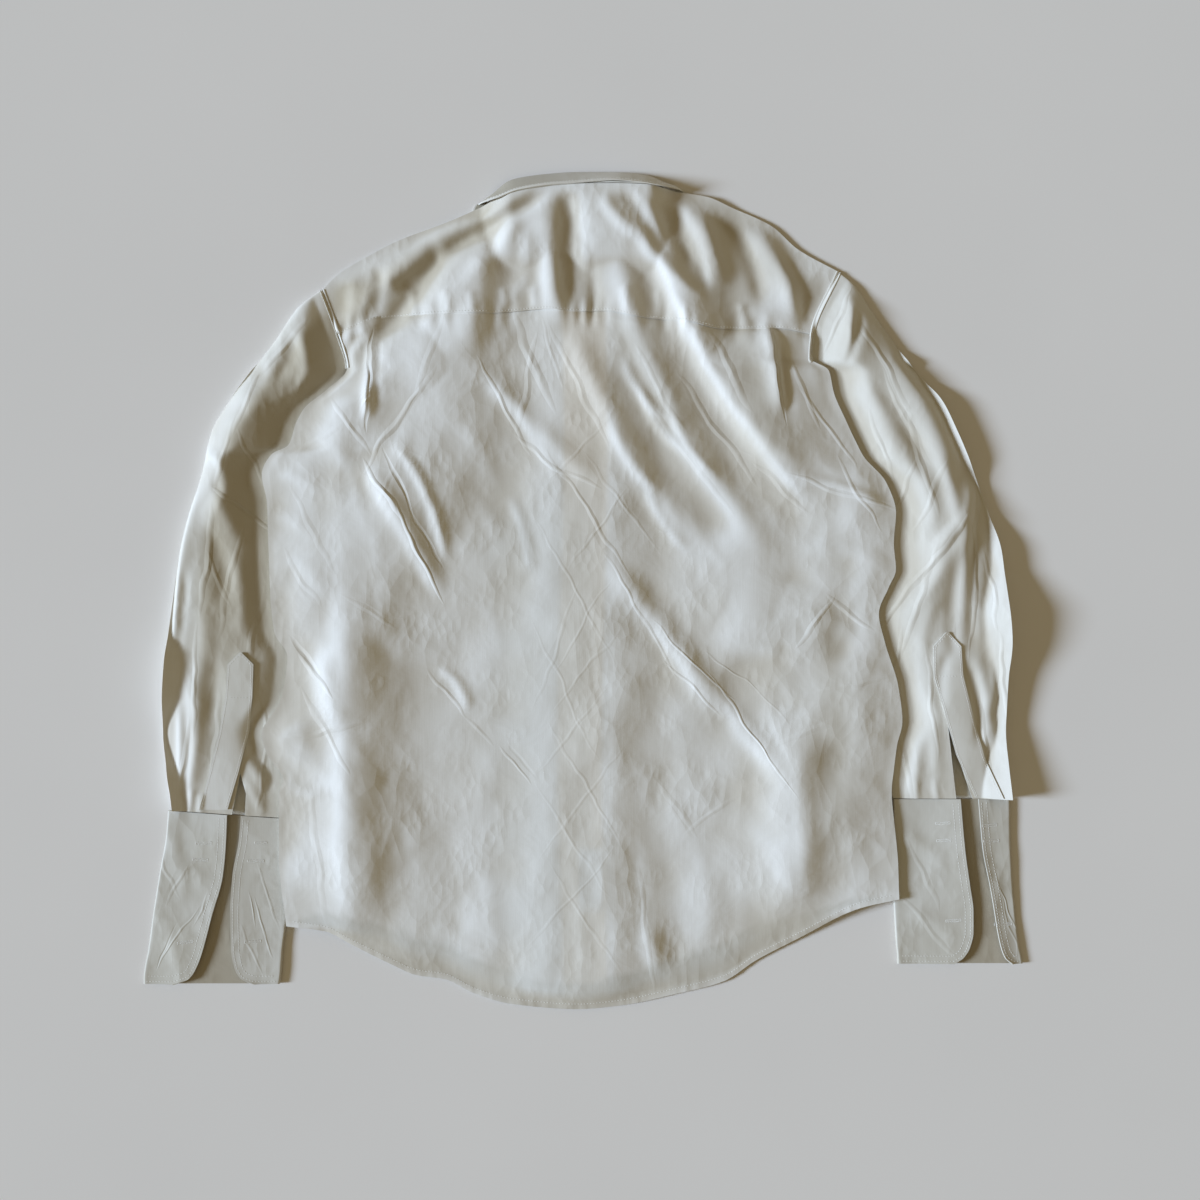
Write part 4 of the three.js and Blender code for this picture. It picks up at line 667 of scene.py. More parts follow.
def make_crumple_group():
    """Facets of cloth that was crumpled, stronger in patches, with straight fine edges."""
    group, source, target = new_group(
        "Worn creases",
        [("Vector", "NodeSocketVector", None), ("Amount", "NodeSocketFloat", 1.0)],
        [("Height", "NodeSocketFloat")])
    vector = source.outputs["Vector"]
    swell = noise(group, vector, SWELL_SCALE, 3.0, 0.5, 0.4)
    total = math_node(group, "MULTIPLY", swell, SWELL_HEIGHT)
    for scale, height in FACET_SETS:
        stretched = scaled(group, vector, FACET_STRETCH)
        cells = add_node(group, "ShaderNodeTexVoronoi", {"Vector": stretched, "Scale": scale}, feature="F1")
        patch = ramp(group, noise(group, vector, scale * PATCH_SHARE, 1.0), *PATCH_EDGE)
        facet = math_node(group, "MULTIPLY", cells.outputs["Distance"], patch)
        total = math_node(group, "ADD", total, math_node(group, "MULTIPLY", facet, height))
    total = math_node(group, "MULTIPLY", total, source.outputs["Amount"])
    feed(group, target.inputs["Height"], total)
    return group


def make_pressed_group(name, rows):
    """Straight pressed creases, sharper than the mesh could hold; their height adds up in the vector's Z."""
    group, source, target = new_group(
        name, [("Vector", "NodeSocketVector", None)], [("Height", "NodeSocketFloat")])
    place = source.outputs["Vector"]
    wander = add_node(group, "ShaderNodeTexNoise", {"Vector": place, "Scale": BEND_SCALE, "Detail": 1.0})
    vector = vector_sum(group, wander.outputs["Color"], (BEND, BEND, 0.0), place)
    vector = vector_sum(group, vector, (1.0, 1.0, 0.0), (-BEND / 2, -BEND / 2, 0.0))
    for x0, y0, x1, y1, width, height in rows:
        half_length = CREASE_REACH * math.hypot(x1 - x0, y1 - y0)
        crease = add_node(group, "ShaderNodeMapping", {
            "Vector": vector,
            "Location": ((x0 + x1) / 2 * MM, (y0 + y1) / 2 * MM, 0.0),
            "Rotation": (0.0, 0.0, math.atan2(y1 - y0, x1 - x0)),
            "Scale": (half_length * MM, width * MM, FLAT_Z),
        }, vector_type="TEXTURE")
        along = {"Vector": crease.outputs["Vector"]}
        tent = add_node(group, "ShaderNodeTexGradient", along, gradient_type="SPHERICAL")
        vector = vector_sum(group, tent.outputs["Fac"], (0.0, 0.0, height), vector)
    parts = add_node(group, "ShaderNodeSeparateXYZ", {0: vector})
    feed(group, target.inputs["Height"], parts.outputs["Z"])
    return group


def make_cloth(name, crease_amount, light, deep, masks=(), pressed=None):
    """Ivory cotton; masks are (attribute, colour, strength) where the colour is made duller or warmer:
    painted shade, or cloth beneath that shows through.
    """
    material = bpy.data.materials.new(name)
    material.use_nodes = True
    tree = material.node_tree
    shader = tree.nodes["Principled BSDF"]
    place = add_node(tree, "ShaderNodeTexCoord").outputs["Object"]
    threads = add_node(tree, "ShaderNodeGroup", {"Vector": place}, node_tree=WEAVE)
    creases = add_node(tree, "ShaderNodeGroup", {"Vector": place, "Amount": crease_amount}, node_tree=CRUMPLE)
    slub = threads.outputs["Slub"]
    tone = noise(tree, place, TONE_SCALE, 4.0, 0.55)
    colour = mix_colour(tree, ramp(tree, tone, *TONE_EDGE), light, deep)
    slub_tone = math_node(tree, "MULTIPLY", ramp(tree, slub, *SLUB_EDGE), SLUB_TONE)
    colour = mix_colour(tree, slub_tone, colour, deep)
    for attribute, tint, strength in masks:
        mask = add_node(tree, "ShaderNodeAttribute", attribute_name=attribute).outputs["Fac"]
        colour = mix_colour(tree, math_node(tree, "MULTIPLY", mask, strength), colour, tint)
    height = creases.outputs["Height"]
    if pressed:
        folded = add_node(tree, "ShaderNodeGroup", {"Vector": place}, node_tree=pressed)
        height = math_node(tree, "ADD", height, folded.outputs["Height"])
    low = add_node(tree, "ShaderNodeBump", {"Strength": 1.0, "Distance": MM, "Height": height})
    fine = add_node(tree, "ShaderNodeBump", {
        "Strength": 0.5, "Distance": THREAD_DEPTH * MM,
        "Height": threads.outputs["Height"], "Normal": low.outputs["Normal"]})
    rough = math_node(tree, "ADD", math_node(tree, "MULTIPLY", slub, ROUGH_SPREAD), ROUGH_LEAST)
    for socket, value in (
            ("Base Color", colour), ("Roughness", rough), ("Normal", fine.outputs["Normal"]),
            ("Sheen Weight", 0.12), ("Sheen Roughness", 0.5), ("Specular IOR Level", 0.3)):
        feed(tree, shader.inputs[socket], value)
    return material


def make_plain(name, colour, roughness, grain_scale, grain_depth):
    """Thread, buttons and the floor: one colour with a grain in tone and height."""
    material = bpy.data.materials.new(name)
    material.use_nodes = True
    tree = material.node_tree
    shader = tree.nodes["Principled BSDF"]
    place = add_node(tree, "ShaderNodeTexCoord").outputs["Object"]
    grain = noise(tree, place, grain_scale, 3.0)
    darker = tuple(channel * GRAIN_TONE for channel in colour[:3]) + (1.0,)
    bump = add_node(tree, "ShaderNodeBump", {"Distance": grain_depth, "Height": grain})
    feed(tree, shader.inputs["Base Color"], mix_colour(tree, grain, colour, darker))
    feed(tree, shader.inputs["Roughness"], roughness)
    feed(tree, shader.inputs["Normal"], bump.outputs["Normal"])
    return material


# painted shade: masks that darken the hollows and the slopes that face away from the light
SHADE_MASKS = (("hollow", HOLLOW_SHADE_TAN, 0.6), ("dull", SLOPE_SHADE_TAN, 0.8))
SHOW_THROUGH = (("strip", WARM_STRIP, 0.45), ("thin", THIN_GREY, 0.7)) + SHADE_MASKS
WEAVE = make_weave_group()
CRUMPLE = make_crumple_group()
BACK_CLOTH = make_cloth("Back poplin", 1.0, IVORY_LIGHT, IVORY_DEEP, SHOW_THROUGH,
                        make_pressed_group("Back creases", BACK_PRESSED))
YOKE_CLOTH = make_cloth("Yoke poplin", 1.0, IVORY_LIGHT, IVORY_DEEP, SHADE_MASKS)
SLEEVE_CLOTH = make_cloth("Sleeve poplin", 0.9, ARM_SHADED_PALE, ARM_SHADED_DEEP, SHADE_MASKS,
                          make_pressed_group("Sleeve creases", SLEEVE_PRESSED))
STIFF_CLOTH = make_cloth("Interlined poplin", 0.45, ARM_SHADED_PALE, ARM_SHADED_DEEP)
# the cuffs: painted shade, darker cloth overall and more on the lower layer beneath the leaves
CUFF_CLOTH = make_cloth("Cuff poplin", 1.1, CUFF_SHADED_PALE, CUFF_SHADED_DEEP, (("inner", UNDER_LEAF_SHADE_TAN, 0.8),),
                        make_pressed_group("Cuff creases", CUFF_PRESSED))
# the collar: darkened by painted shade, most at the left end of the leaf
COLLAR_CLOTH = make_cloth("Collar poplin", 0.4, ARM_SHADED_PALE, ARM_SHADED_DEEP, (("dim", COLLAR_SHADE_TAN, 1.0),))
THREAD = make_plain("Sewing thread", PALE_THREAD, 0.5, 2000.0, 0.00005)
PEARL = make_plain("Button shell", SHELL_WHITE, 0.2, 160.0, 0.0001)


# ---- the body ----
def body_plan(columns, rows, hem, seam):
    """Points of the body at columns 0 to 1 across and rows 0 to SEAM_ROW up."""
    side = rows_at(BODY, np.arange(len(BODY["left_x"]), dtype=float), rows[:, None])
    u = columns(side) if callable(columns) else columns[None, :]
    x = mix(side["left_x"], side["right_x"], u)
    level = mix(side["left_y"], side["right_y"], u)
    v = (rows / SEAM_ROW)[:, None]
    first, last = (row_of(BODY, k) for k in (0, SEAM_ROW))
    hem_bow = hem(mix(first["left_x"], first["right_x"], u)) - mix(first["left_y"], first["right_y"], u)
    seam_bow = seam(mix(last["left_x"], last["right_x"], u)) - mix(last["left_y"], last["right_y"], u)
    return x, level + hem_bow * (1.0 - v) ** 2 + seam_bow * v ** 3


def seam_pucker(x):
    """Small uneven gathers along the yoke's seam."""
    return 0.7 * np.sin(x * 0.42 + 2.2 * np.sin(x * 0.061)) * (0.55 + 0.45 * np.sin(x * 0.083 + 1.0))


def hem_pucker(x):
    return 0.22 * np.sin(x * 1.15 + 2.0 * np.sin(x * 0.13))


def make_back():
    overlap = 2.5                            # of the back beneath the yoke's edge
    hem_step, seam_sink = 0.55, 1.5          # the hem is doubled; the seam lies below the yoke
    near_hem = [0.0, 0.03, 0.06, 0.1, 0.14, 0.2]
    up = np.concatenate([near_hem, np.linspace(0.3, SEAM_ROW, 196)])
    x, y = body_plan(np.linspace(0.0, 1.0, 178), up, back_hem, lambda at: yoke_seam(at) + overlap)
    z = back_underside(x, y, BACK_CREASES) + CLOTH
    # painted shade, darker the deeper a point lies below the blurred heights around it
    hollow = hollow_mask(z)
    from_hem, from_seam = y - back_hem(x), yoke_seam(x) - y
    pucker = hem_pucker(x) * (1.0 - smooth(2, 13, from_hem))
    z += hem_step * (1.0 - smooth(HEM_WIDTH - 1.0, HEM_WIDTH + 1.0, from_hem)) + pucker
    z -= seam_sink * (1.0 - smooth(-0.5, 5.0, from_seam))
    z += seam_pucker(x) * (1.0 - smooth(2, 22, from_seam))
    piece = lay_grid("back_cloth", joined(x, y, z))

    # the button strip shows through, but for one cool spot, and so does a single layer at the hem
    strip_x = x - 3.0 * np.sin(y / 90.0)
    strip = (1.0 - smooth(17, 24, np.abs(strip_x))) * smooth(-395, -370, y)
    cool = (1.0 - smooth(9, 14, np.abs(x - 8.0))) * smooth(-302, -292, y) * (1.0 - smooth(-246, -236, y))
    one_layer = smooth(-2.0, 3.0, front_hem(x) - y) * smooth(3.0, 7.0, from_hem)
    beside_strip = 0.6 * smooth(-110, -50, x) * (1.0 - smooth(-5, 40, x)) * (1.0 - smooth(40, 160, y))
    # show-through masks, and painted shade in the hollows and on the slopes that face away from the light
    add_masks(piece, strip=strip * (1.0 - cool), thin=np.maximum(one_layer, beside_strip),
              hollow=hollow, dull=dull_mask(x, y))
    return finish_piece(piece, "back", BACK_CLOTH, SHELL)


def make_yoke():
    u, v = np.meshgrid(np.linspace(0, 1, 170), np.linspace(0, 1, 48))
    seam_x, top_x = (mix(line["x"][0], line["x"][-1], u) for line in (YOKE_SEAM, SHOULDER))
    x, y = mix(seam_x, top_x, v), mix(yoke_seam(seam_x), shoulder_line(top_x), v)
    z = back_underside(x, y, YOKE_CREASES) + CLOTH
    hollow = hollow_mask(z)
    z += seam_pucker(x) * (1.0 - smooth(2, 18, y - yoke_seam(x)))
    piece = lay_grid("yoke_cloth", joined(x, y, z))
    # painted shade in the hollows and on the slopes that face away from the light
    add_masks(piece, hollow=hollow, dull=dull_mask(x, y))
    return finish_piece(piece, "yoke", YOKE_CLOTH, SHELL)


def front_top_edge(x):
    """Upper edge of a front: the shoulder line, and the neckline's half round."""
    reach = np.clip(np.abs(x) / NECKLINE_HALF, 0.0, 1.0)
    corner = np.where(x < 0, shoulder_line(-NECKLINE_HALF), shoulder_line(NECKLINE_HALF)) - EDGE_INSET
    neckline = mix(corner, NECKLINE_CENTRE_Y, np.sqrt(1.0 - reach ** 2))
    return np.where(np.abs(x) < NECKLINE_HALF, neckline, shoulder_line(x) - EDGE_INSET)


def make_front(node, side, centre_z):
    """A front from its side edge to the far side of the button strip."""
    edge_name = "left_x" if side < 0 else "right_x"
    across = np.linspace(0.0, 1.0, 96)

    def share_of(x, row):
        return (x - row["left_x"]) / (row["right_x"] - row["left_x"])

    def columns(rows):
        edge = rows[edge_name] - side * EDGE_INSET
        return share_of(np.sort(mix(edge, -side * PLACKET_HALF, across[None, :]), axis=1), rows)

    def level(x):
        last = row_of(BODY, SEAM_ROW)
        return mix(last["left_y"], last["right_y"], share_of(x, last))

    x, y = body_plan(columns, np.linspace(0, SEAM_ROW, 120), front_hem, level)
    edge = BODY[edge_name][SEAM_ROW + 1] - side * EDGE_INSET
    top_x = np.sort(mix(edge, -side * PLACKET_HALF, across))
    v = np.linspace(0, 1, 22)[1:, None]
    x = np.concatenate([x, mix(x[-1:], top_x, v)])
    y = np.concatenate([y, mix(y[-1:], front_top_edge(top_x)[None, :], v)])
    z = front_underside(x, y, centre_z) + CLOTH
    piece = lay_grid(node + "_cloth", joined(x, y, z))
    return finish_piece(piece, node, SLEEVE_CLOTH, CLOTH)


# ---- sleeves ----
def sleeve_top(sleeve, section, s):
    """Height of a sleeve's upper face at s across, kept low beneath the body's edge."""
    x = mix(section["outer_x"], section["inner_x"], s)
    y = mix(section["outer_y"], section["inner_y"], s)
    crown = np.sin(math.pi * np.clip(s, 0.0, 1.0) ** sleeve["skew"]) ** CROWN_ROUND
    folds = fold_height(sleeve["folds"], x, y) + ripple(x, y, SLEEVE_SEED + sleeve["side"])
    outside = sleeve["side"] * (x - side_edge(sleeve["side"], y))
    limit = TUCK_TOP + TUCK_SLOPE * np.maximum(0.0, outside - TUCK_OUTSIDE)
    height = SLEEVE_EDGE + section["puff"] * crown + folds * np.minimum(1.0, 2 * crown)
    over = np.clip((limit - height) / TUCK_SOFT, -30, 30)
    return np.maximum(limit - TUCK_SOFT * np.log1p(np.exp(over)), SLEEVE_EDGE * 0.8)


def sleeve_height_at(sleeve, x, y):
    """Height of a sleeve's upper face over points of its lower half."""
    section = rows_at(sleeve["rows"], sleeve["rows"]["outer_y"], y)
    section["outer_y"] = section["inner_y"] = y
    s = (x - section["outer_x"]) / (section["inner_x"] - section["outer_x"])
    return sleeve_top(sleeve, section, s)


def seam_shift(sleeve, s):
    """How far a sleeve's start is moved in X at s across, to follow the body's edge."""
    start = row_of(sleeve["rows"], 0)
    y = mix(start["outer_y"], start["inner_y"], s)
    edge = side_edge(sleeve["side"], y)
    return edge + sleeve["side"] * ARMHOLE_GAP - mix(start["outer_x"], start["inner_x"], s)


def make_sleeve(name, sleeve):
    """A tube pressed flat: its upper face, with folds, and then its underside, in one loop."""
    top_steps, bottom_steps, rows = 64, 16, 190
    knots = np.linspace(0.0, 1.0, len(sleeve["rows"]["puff"]))
    t = np.linspace(1.0, 0.0, rows)[:, None]
    section = rows_at(sleeve["rows"], knots, t)
    spread, under_s = (
        (1.0 - np.cos(np.linspace(0, math.pi, steps + 1))) / 2.0 for steps in (top_steps, bottom_steps))
    over = sleeve_top(sleeve, section, spread[None, :])
    over[:, 0] = over[:, -1] = SLEEVE_EDGE / 2.0
    under_s = under_s[1:-1]
    s = np.concatenate([spread, under_s[::-1], spread[:1]])[None, :]
    x = mix(section["outer_x"], section["inner_x"], s)
    y = mix(section["outer_y"], section["inner_y"], s)
    z = np.concatenate([over, np.zeros((rows, len(under_s))), over[:, :1]], axis=1)
    near_start = np.clip(1.0 - t * (len(knots) - 1), 0.0, 1.0)
    loop = joined(x + near_start * seam_shift(sleeve, s), y, z)
    # painted shade across the sleeve: none at its outer edge, less towards the cuff
    fade = 1.0 - SLOPE_SHADE_FADE * smooth(-60, 60, -y[:, :1] - 60)
    dull = sleeve["dull"] * smooth(*SLOPE_SHADE_ACROSS, spread)[None, :] * fade
    dull = np.pad(dull, ((0, 0), (0, s.shape[1] - len(spread))))
    if sleeve["side"] > 0:
        loop, dull = loop[:, ::-1], dull[:, ::-1]
    piece = lay_grid(name + "_cloth", loop)
    # painted shade in the hollows of the sleeve's upper face, and across its inner slope
    add_masks(piece, hollow=hollow_mask(loop[..., 2]) * (loop[..., 2] > 0.1), dull=dull)
    edit_mesh(piece, bpy.ops.mesh.remove_doubles, threshold=WELD)
    give_wall(piece, SHELL)
    cut_slit(piece, sleeve)
    return finish_piece(piece, name, SLEEVE_CLOTH)


def cut_slit(piece, sleeve):
    """Cuts the sleeve's slit through its upper wall with a prism."""
    bpy.ops.object.select_all(action="DESELECT")
    bpy.ops.mesh.primitive_circle_add(vertices=len(sleeve["slit"]), fill_type="NGON", radius=1.0)
    knife = bpy.context.active_object
    for vertex, (x, y) in zip(knife.data.vertices, sleeve["slit"]):
        vertex.co = (x * MM, y * MM, SLEEVE_EDGE / 2 * MM)
    edit_mesh(knife, bpy.ops.mesh.extrude_region_move, TRANSFORM_OT_translate={"value": (0, 0, KNIFE_HEIGHT)})
    edit_mesh(knife, bpy.ops.mesh.normals_make_consistent, inside=False)
    cut_away(piece, knife)


def make_sleeve_placket(name, sleeve):
    strip = sleeve["placket"]
    y = mix(strip["y"][-1], strip["y"][0], np.linspace(0, 1, 120))[:, None]
    left, right = (np.interp(y, strip["y"][::-1], strip[side][::-1]) for side in ("left", "right"))
    x = mix(left, right, np.linspace(0, 1, 22)[None, :])
    y = np.broadcast_to(y, x.shape)
    z = sleeve_height_at(sleeve, x, y) + sleeve["rise"] + PLACKET_GAP
    piece = lay_grid(name + "_cloth", joined(x, y, z))
    return finish_piece(piece, name, STIFF_CLOTH, PLACKET_WALL)


# ---- cuffs ----
def cuff_path(rows, steps):
    """Points across a cuff for each row: left leaf, fold, wrist side, fold, right leaf."""
    leaf_z = 2 * STIFF + CUFF_GAP
    bend, rise = 2.0, 2.2                    # radius of the folds, and how far the free edges stand up
    leaf = np.linspace(0, 1, steps)[None, :]
    wide = np.linspace(0, 1, 2 * steps)[None, :]
    arc = np.linspace(0, math.pi, 9)[1:-1][None, :]
    lift = rise * (1.0 - leaf) ** 2
    left, right = rows["fold_left"], rows["fold_right"]
    x = np.concatenate([
        mix(rows["leaf_left"], left + bend, leaf), left + bend - bend * np.sin(arc),
        mix(left + bend, right - bend, wide), right - bend + bend * np.sin(arc),
        mix(right - bend, rows["leaf_right"], leaf)], axis=1)
    flat = np.ones_like(left)
    z = np.concatenate([
        (leaf_z + lift) * flat, leaf_z / 2 * (1 + np.cos(arc)) * flat, 0 * wide * flat,
        leaf_z / 2 * (1 - np.cos(arc)) * flat, (leaf_z + lift[:, ::-1]) * flat], axis=1)
    y = rows["y"] - rows["drop"] * (x - left) / (right - left)
    return x, y, z


def make_cuff(name, cuff):
    v = np.concatenate([np.linspace(0, 0.8, 60), np.linspace(0.8, 1, 46)[1:]])
    knots = (cuff["y"] - cuff["y"][0]) / (cuff["y"][-1] - cuff["y"][0])
    x, y, z = cuff_path(rows_at(cuff, knots, v[:, None]), 26)
    top = smooth(STIFF, 2 * STIFF, z)
    z = z + top * (fold_height(CUFF_CREASES, x, y) + CUFF_RIPPLE * ripple(x, y, CUFF_SEED))
    piece = lay_grid(name + "_cloth", joined(x, y, np.maximum(z, 0.0)))
    # painted shade on the cuff's lower layer, beneath its leaves
    add_masks(piece, inner=1.0 - top)
    return finish_piece(piece, name, CUFF_CLOTH, CUFF_WALL)


# ---- collar ----
def band_points(band, count, across, sag):
    """Points of a neck band: count rows round the neck, across points from edge to fold."""
    knots = np.arange(len(band["edge_x"]), dtype=float)
    row = rows_at(band, knots, np.linspace(0, knots[-1], count)[:, None])
    t = np.linspace(0, 1, across)[None, :]
    belly = sag * 4 * t * (1 - t) * smooth(2, 12, row["edge_z"])
    x, y, z = (mix(row["edge_" + axis], row["fold_" + axis], t) for axis in "xyz")
    return joined(x, y + belly, z)


def make_band(name, band, sag, dim_left, dim_right):
    """The leaf or the stand; its last two arguments are how much painted shade darkens it at its two sides.
    """
    points = band_points(band, 260, 16, sag)
    piece = lay_grid(name + "_cloth", points)
    from_edge = np.linspace(0, 1, points.shape[1])[None, :]
    # painted shade, stronger to one side and away from the band's edge
    dim = mix(dim_left, dim_right, smooth(-90, 75, points[..., 0])) * smooth(0.05, 0.14, from_edge)
    add_masks(piece, dim=dim)
    edit_mesh(piece, bpy.ops.mesh.flip_normals)
    return finish_piece(piece, name, COLLAR_CLOTH, COLLAR_WALL)


# ---- button strip and buttons, which lie beneath ----
def make_front_placket():
    lowest, highest = (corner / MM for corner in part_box("front_placket"))
    x = np.linspace(lowest.x, highest.x, 14)[None, :]
    y = mix(front_hem(x), highest.y, np.linspace(0, 1, 140)[:, None])
    piece = lay_grid("front_placket_cloth", joined(x, y, np.full(y.shape, highest.z)))
    return finish_piece(piece, "front_placket", STIFF_CLOTH, highest.z - lowest.z)


def make_button_model():
    """A shell button: a disc with a rim round its dished face, which looks down, and four holes."""
    thick, radius, rim, dish = 2.0, 5.5, 1.6, 0.5
    hole_radius, hole_place, drill_length = 0.55, 1.3, 4
    profile = [
        (radius - 0.9, thick), (radius - 0.25, thick - 0.3), (radius, thick / 2), (radius - 0.25, 0.3),
        (radius - 0.7, 0.0), (radius - 1.1, 0.05), (radius - rim, dish)]
    turns = np.linspace(0, math.tau, 33)[None, :]
    across, height = (np.array(column)[:, None] for column in zip(*profile))
    ring = joined(across * np.cos(turns), across * np.sin(turns), height)
    model = lay_grid("button_model", ring[::-1])
    edit_mesh(model, bpy.ops.mesh.remove_doubles, threshold=WELD)
    bpy.ops.object.mode_set(mode="EDIT")
    bpy.ops.mesh.select_all(action="DESELECT")
    bpy.ops.mesh.select_non_manifold()
    bpy.ops.mesh.edge_face_add()
    bpy.ops.object.mode_set(mode="OBJECT")
    edit_mesh(model, bpy.ops.mesh.fill_holes, sides=0)
    edit_mesh(model, bpy.ops.mesh.normals_make_consistent, inside=False)
    for k in range(4):
        turn = math.pi * (0.25 + 0.5 * k)
        bpy.ops.object.select_all(action="DESELECT")
        place = (hole_place * math.cos(turn) * MM, hole_place * math.sin(turn) * MM, thick / 2 * MM)
        bpy.ops.mesh.primitive_cylinder_add(
            vertices=12, radius=hole_radius * MM, depth=drill_length * MM, location=place)
        cut_away(model, bpy.context.active_object)
    select_only(model)
    bpy.ops.object.shade_smooth_by_angle(angle=math.radians(BUTTON_SHARP))
    return model


def make_buttons(count):
    model = make_button_model()
    buttons = []
    for k in range(1, count + 1):
        lowest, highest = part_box(f"button_{k}")
        button = model.copy()
        button.data = model.data.copy()
        button.name = button.data.name = f"button_{k}_shell"
        bpy.context.scene.collection.objects.link(button)
        middle = (lowest + highest) / 2
        for vertex in button.data.vertices:
            vertex.co += Vector((middle.x, middle.y, lowest.z))
        buttons.append(finish_piece(button, f"button_{k}", PEARL))
    bpy.data.objects.remove(model)
    return buttons


# ---- seams and stitches ----
def height_finder(pieces):
    """A function that gives the height of the highest of the pieces over (x, y), in millimetres."""
    graph = bpy.context.evaluated_depsgraph_get()
    trees = [BVHTree.FromObject(piece, graph) for piece in pieces]

    def height(x, y):
        start = Vector((x * MM, y * MM, ABOVE_ALL))
        hits = [tree.ray_cast(start, Vector((0, 0, -1)))[0] for tree in trees]
        return max((hit.z / MM for hit in hits if hit), default=0.0)

    return height


def inset(line, distance):
    """A line moved sideways: to its left where distance is positive."""
    tangent = np.gradient(line, axis=0)
    tangent /= np.maximum(np.hypot(tangent[:, :1], tangent[:, 1:]), 1e-6)
    return line + distance * joined(-tangent[:, 1], tangent[:, 0])


def dense(line):
    """The same broken line with many points."""
    at = np.linspace(0, len(line) - 1, 80)
    return joined(*(np.interp(at, np.arange(len(line)), line[:, k]) for k in (0, 1)))


def stitches_along(line):
    """Ends (x0, y0, x1, y1) of the stitches of one row."""
    along = np.concatenate([[0.0], np.cumsum(np.hypot(*np.diff(line, axis=0).T))])
    half = STITCH_LENGTH / 2
    middle = np.arange(STITCH_PITCH / 2, along[-1] - half, STITCH_PITCH)
    return joined(*(np.interp(middle + side * half, along, line[:, k]) for side in (-1, 1) for k in (0, 1)))


def buttonhole(x0, y0, x1, y1):
    """Ends of the close stitches on both sides of a slot, and across its two ends."""
    length = math.hypot(x1 - x0, y1 - y0)
    ux, uy = (x1 - x0) / length, (y1 - y0) / length
    bars = [(at, side * HOLE_INNER, side * HOLE_OUTER)
            for at in np.arange(HOLE_START, length, HOLE_PITCH) for side in (-1, 1)]
    bars += [(at, HOLE_OUTER, -HOLE_OUTER) for at in (0.0, length)]
    found = []
    for at, near, far in bars:
        x, y = x0 + ux * at, y0 + uy * at
        found.append((x - uy * near, y + ux * near, x - uy * far, y + ux * far))
    return np.array(found)


def sew(name, rows, pieces):
    """One mesh of stitches, each a low spindle that lies on the pieces."""
    height = height_finder(pieces)
    ring = ((0.0, 1.0), (1.0, 0.1), (0.0, -0.5), (-1.0, 0.1))
    up = Vector((0.0, 0.0, STITCH_RISE))
    points, faces = [], []
    for x0, y0, x1, y1 in np.concatenate(rows):
        first, last = Vector((x0, y0, height(x0, y0))), Vector((x1, y1, height(x1, y1)))
        along = last - first
        sideways = Vector((-along.y, along.x, 0.0)).normalized() * STITCH_WIDTH / 2
        base = len(points)
        points.append(first)
        for share in (0.22, 0.78):
            points += [first + along * share + sideways * a + up * b for a, b in ring]
        points.append(last)
        for k in range(4):
            n = (k + 1) % 4
            faces.append((base, base + 1 + n, base + 1 + k))
            faces.append((base + 1 + k, base + 1 + n, base + 5 + n, base + 5 + k))
            faces.append((base + 5 + k, base + 5 + n, base + 9))
    mesh = bpy.data.meshes.new(name)
    mesh.from_pydata([point * MM for point in points], [], faces)
    piece = bpy.data.objects.new(name, mesh)
    bpy.context.scene.collection.objects.link(piece)
    edit_mesh(piece, bpy.ops.mesh.normals_make_consistent, inside=False)
    bpy.ops.object.shade_smooth()
    return finish_piece(piece, None, THREAD)


def armhole_line(side):
    """The body's edge from the shoulder's end down the part of the armhole that shows."""
    top, low = (SHOULDER["y"][0], 208.0) if side < 0 else (SHOULDER["y"][-1], 214.0)
    y = np.linspace(top, low, 60)
    return joined(side_edge(side, y), y)


def make_armhole_seam(name, side, pieces):
    """A felled strip over the seam between the body and a sleeve."""
    height = height_finder(pieces)
    line = armhole_line(side)
    grid = np.stack([inset(line, side * at) for at in np.linspace(FELL_INSIDE, FELL_OUTSIDE, 12)], axis=1)
    cloth = np.array([[height(x, y) for x, y in row] for row in grid])
    z = blurred(cloth, 2) + FELL_RISE
    z[:, [0, -1]] = cloth[:, [0, -1]] + FELL_EDGE
    if side < 0:
        grid, z = grid[:, ::-1], z[:, ::-1]
    piece = lay_grid(name + "_cloth", np.concatenate([grid, z[..., None]], axis=-1)[::-1])
    return finish_piece(piece, None, SLEEVE_CLOTH, FELL_WALL)


def cuff_edges(cuff):
    """The free edge of each leaf of a cuff, from its top down round its corner to the fold."""
    clear, steps = 3.0, 20                   # of the sleeve and the fold, and the points after the corner
    y = np.linspace(cuff["y"][0] - clear, cuff["y"][-1], 160)
    column = rows_at(cuff, cuff["y"], y)
    longer = {name: np.pad(values, (0, steps - 1), mode="edge") for name, values in column.items()}
    level = np.pad(y, (0, steps - 1), mode="edge")
    edges = []
    for leaf, fold, toward in (("leaf_left", "fold_left", 1.0), ("leaf_right", "fold_right", -1.0)):
        below = np.linspace(column[leaf][-1], column[fold][-1] + clear * toward, steps)[1:]
        x = np.concatenate([column[leaf], below])
        share = (x - longer["fold_left"]) / (longer["fold_right"] - longer["fold_left"])
        edges.append(joined(x, level - share * longer["drop"]))
    return edges


def sew_cuff(name, cuff, piece, holes):
    """Two rows of topstitching round each leaf, and the buttonholes."""
    rows = [
        stitches_along(inset(edge, side * reach))
        for edge, side in zip(cuff_edges(cuff), (-1, 1)) for reach in CUFF_STITCH_ROWS]
    return sew(name, rows + [buttonhole(*hole) for hole in holes], [piece])


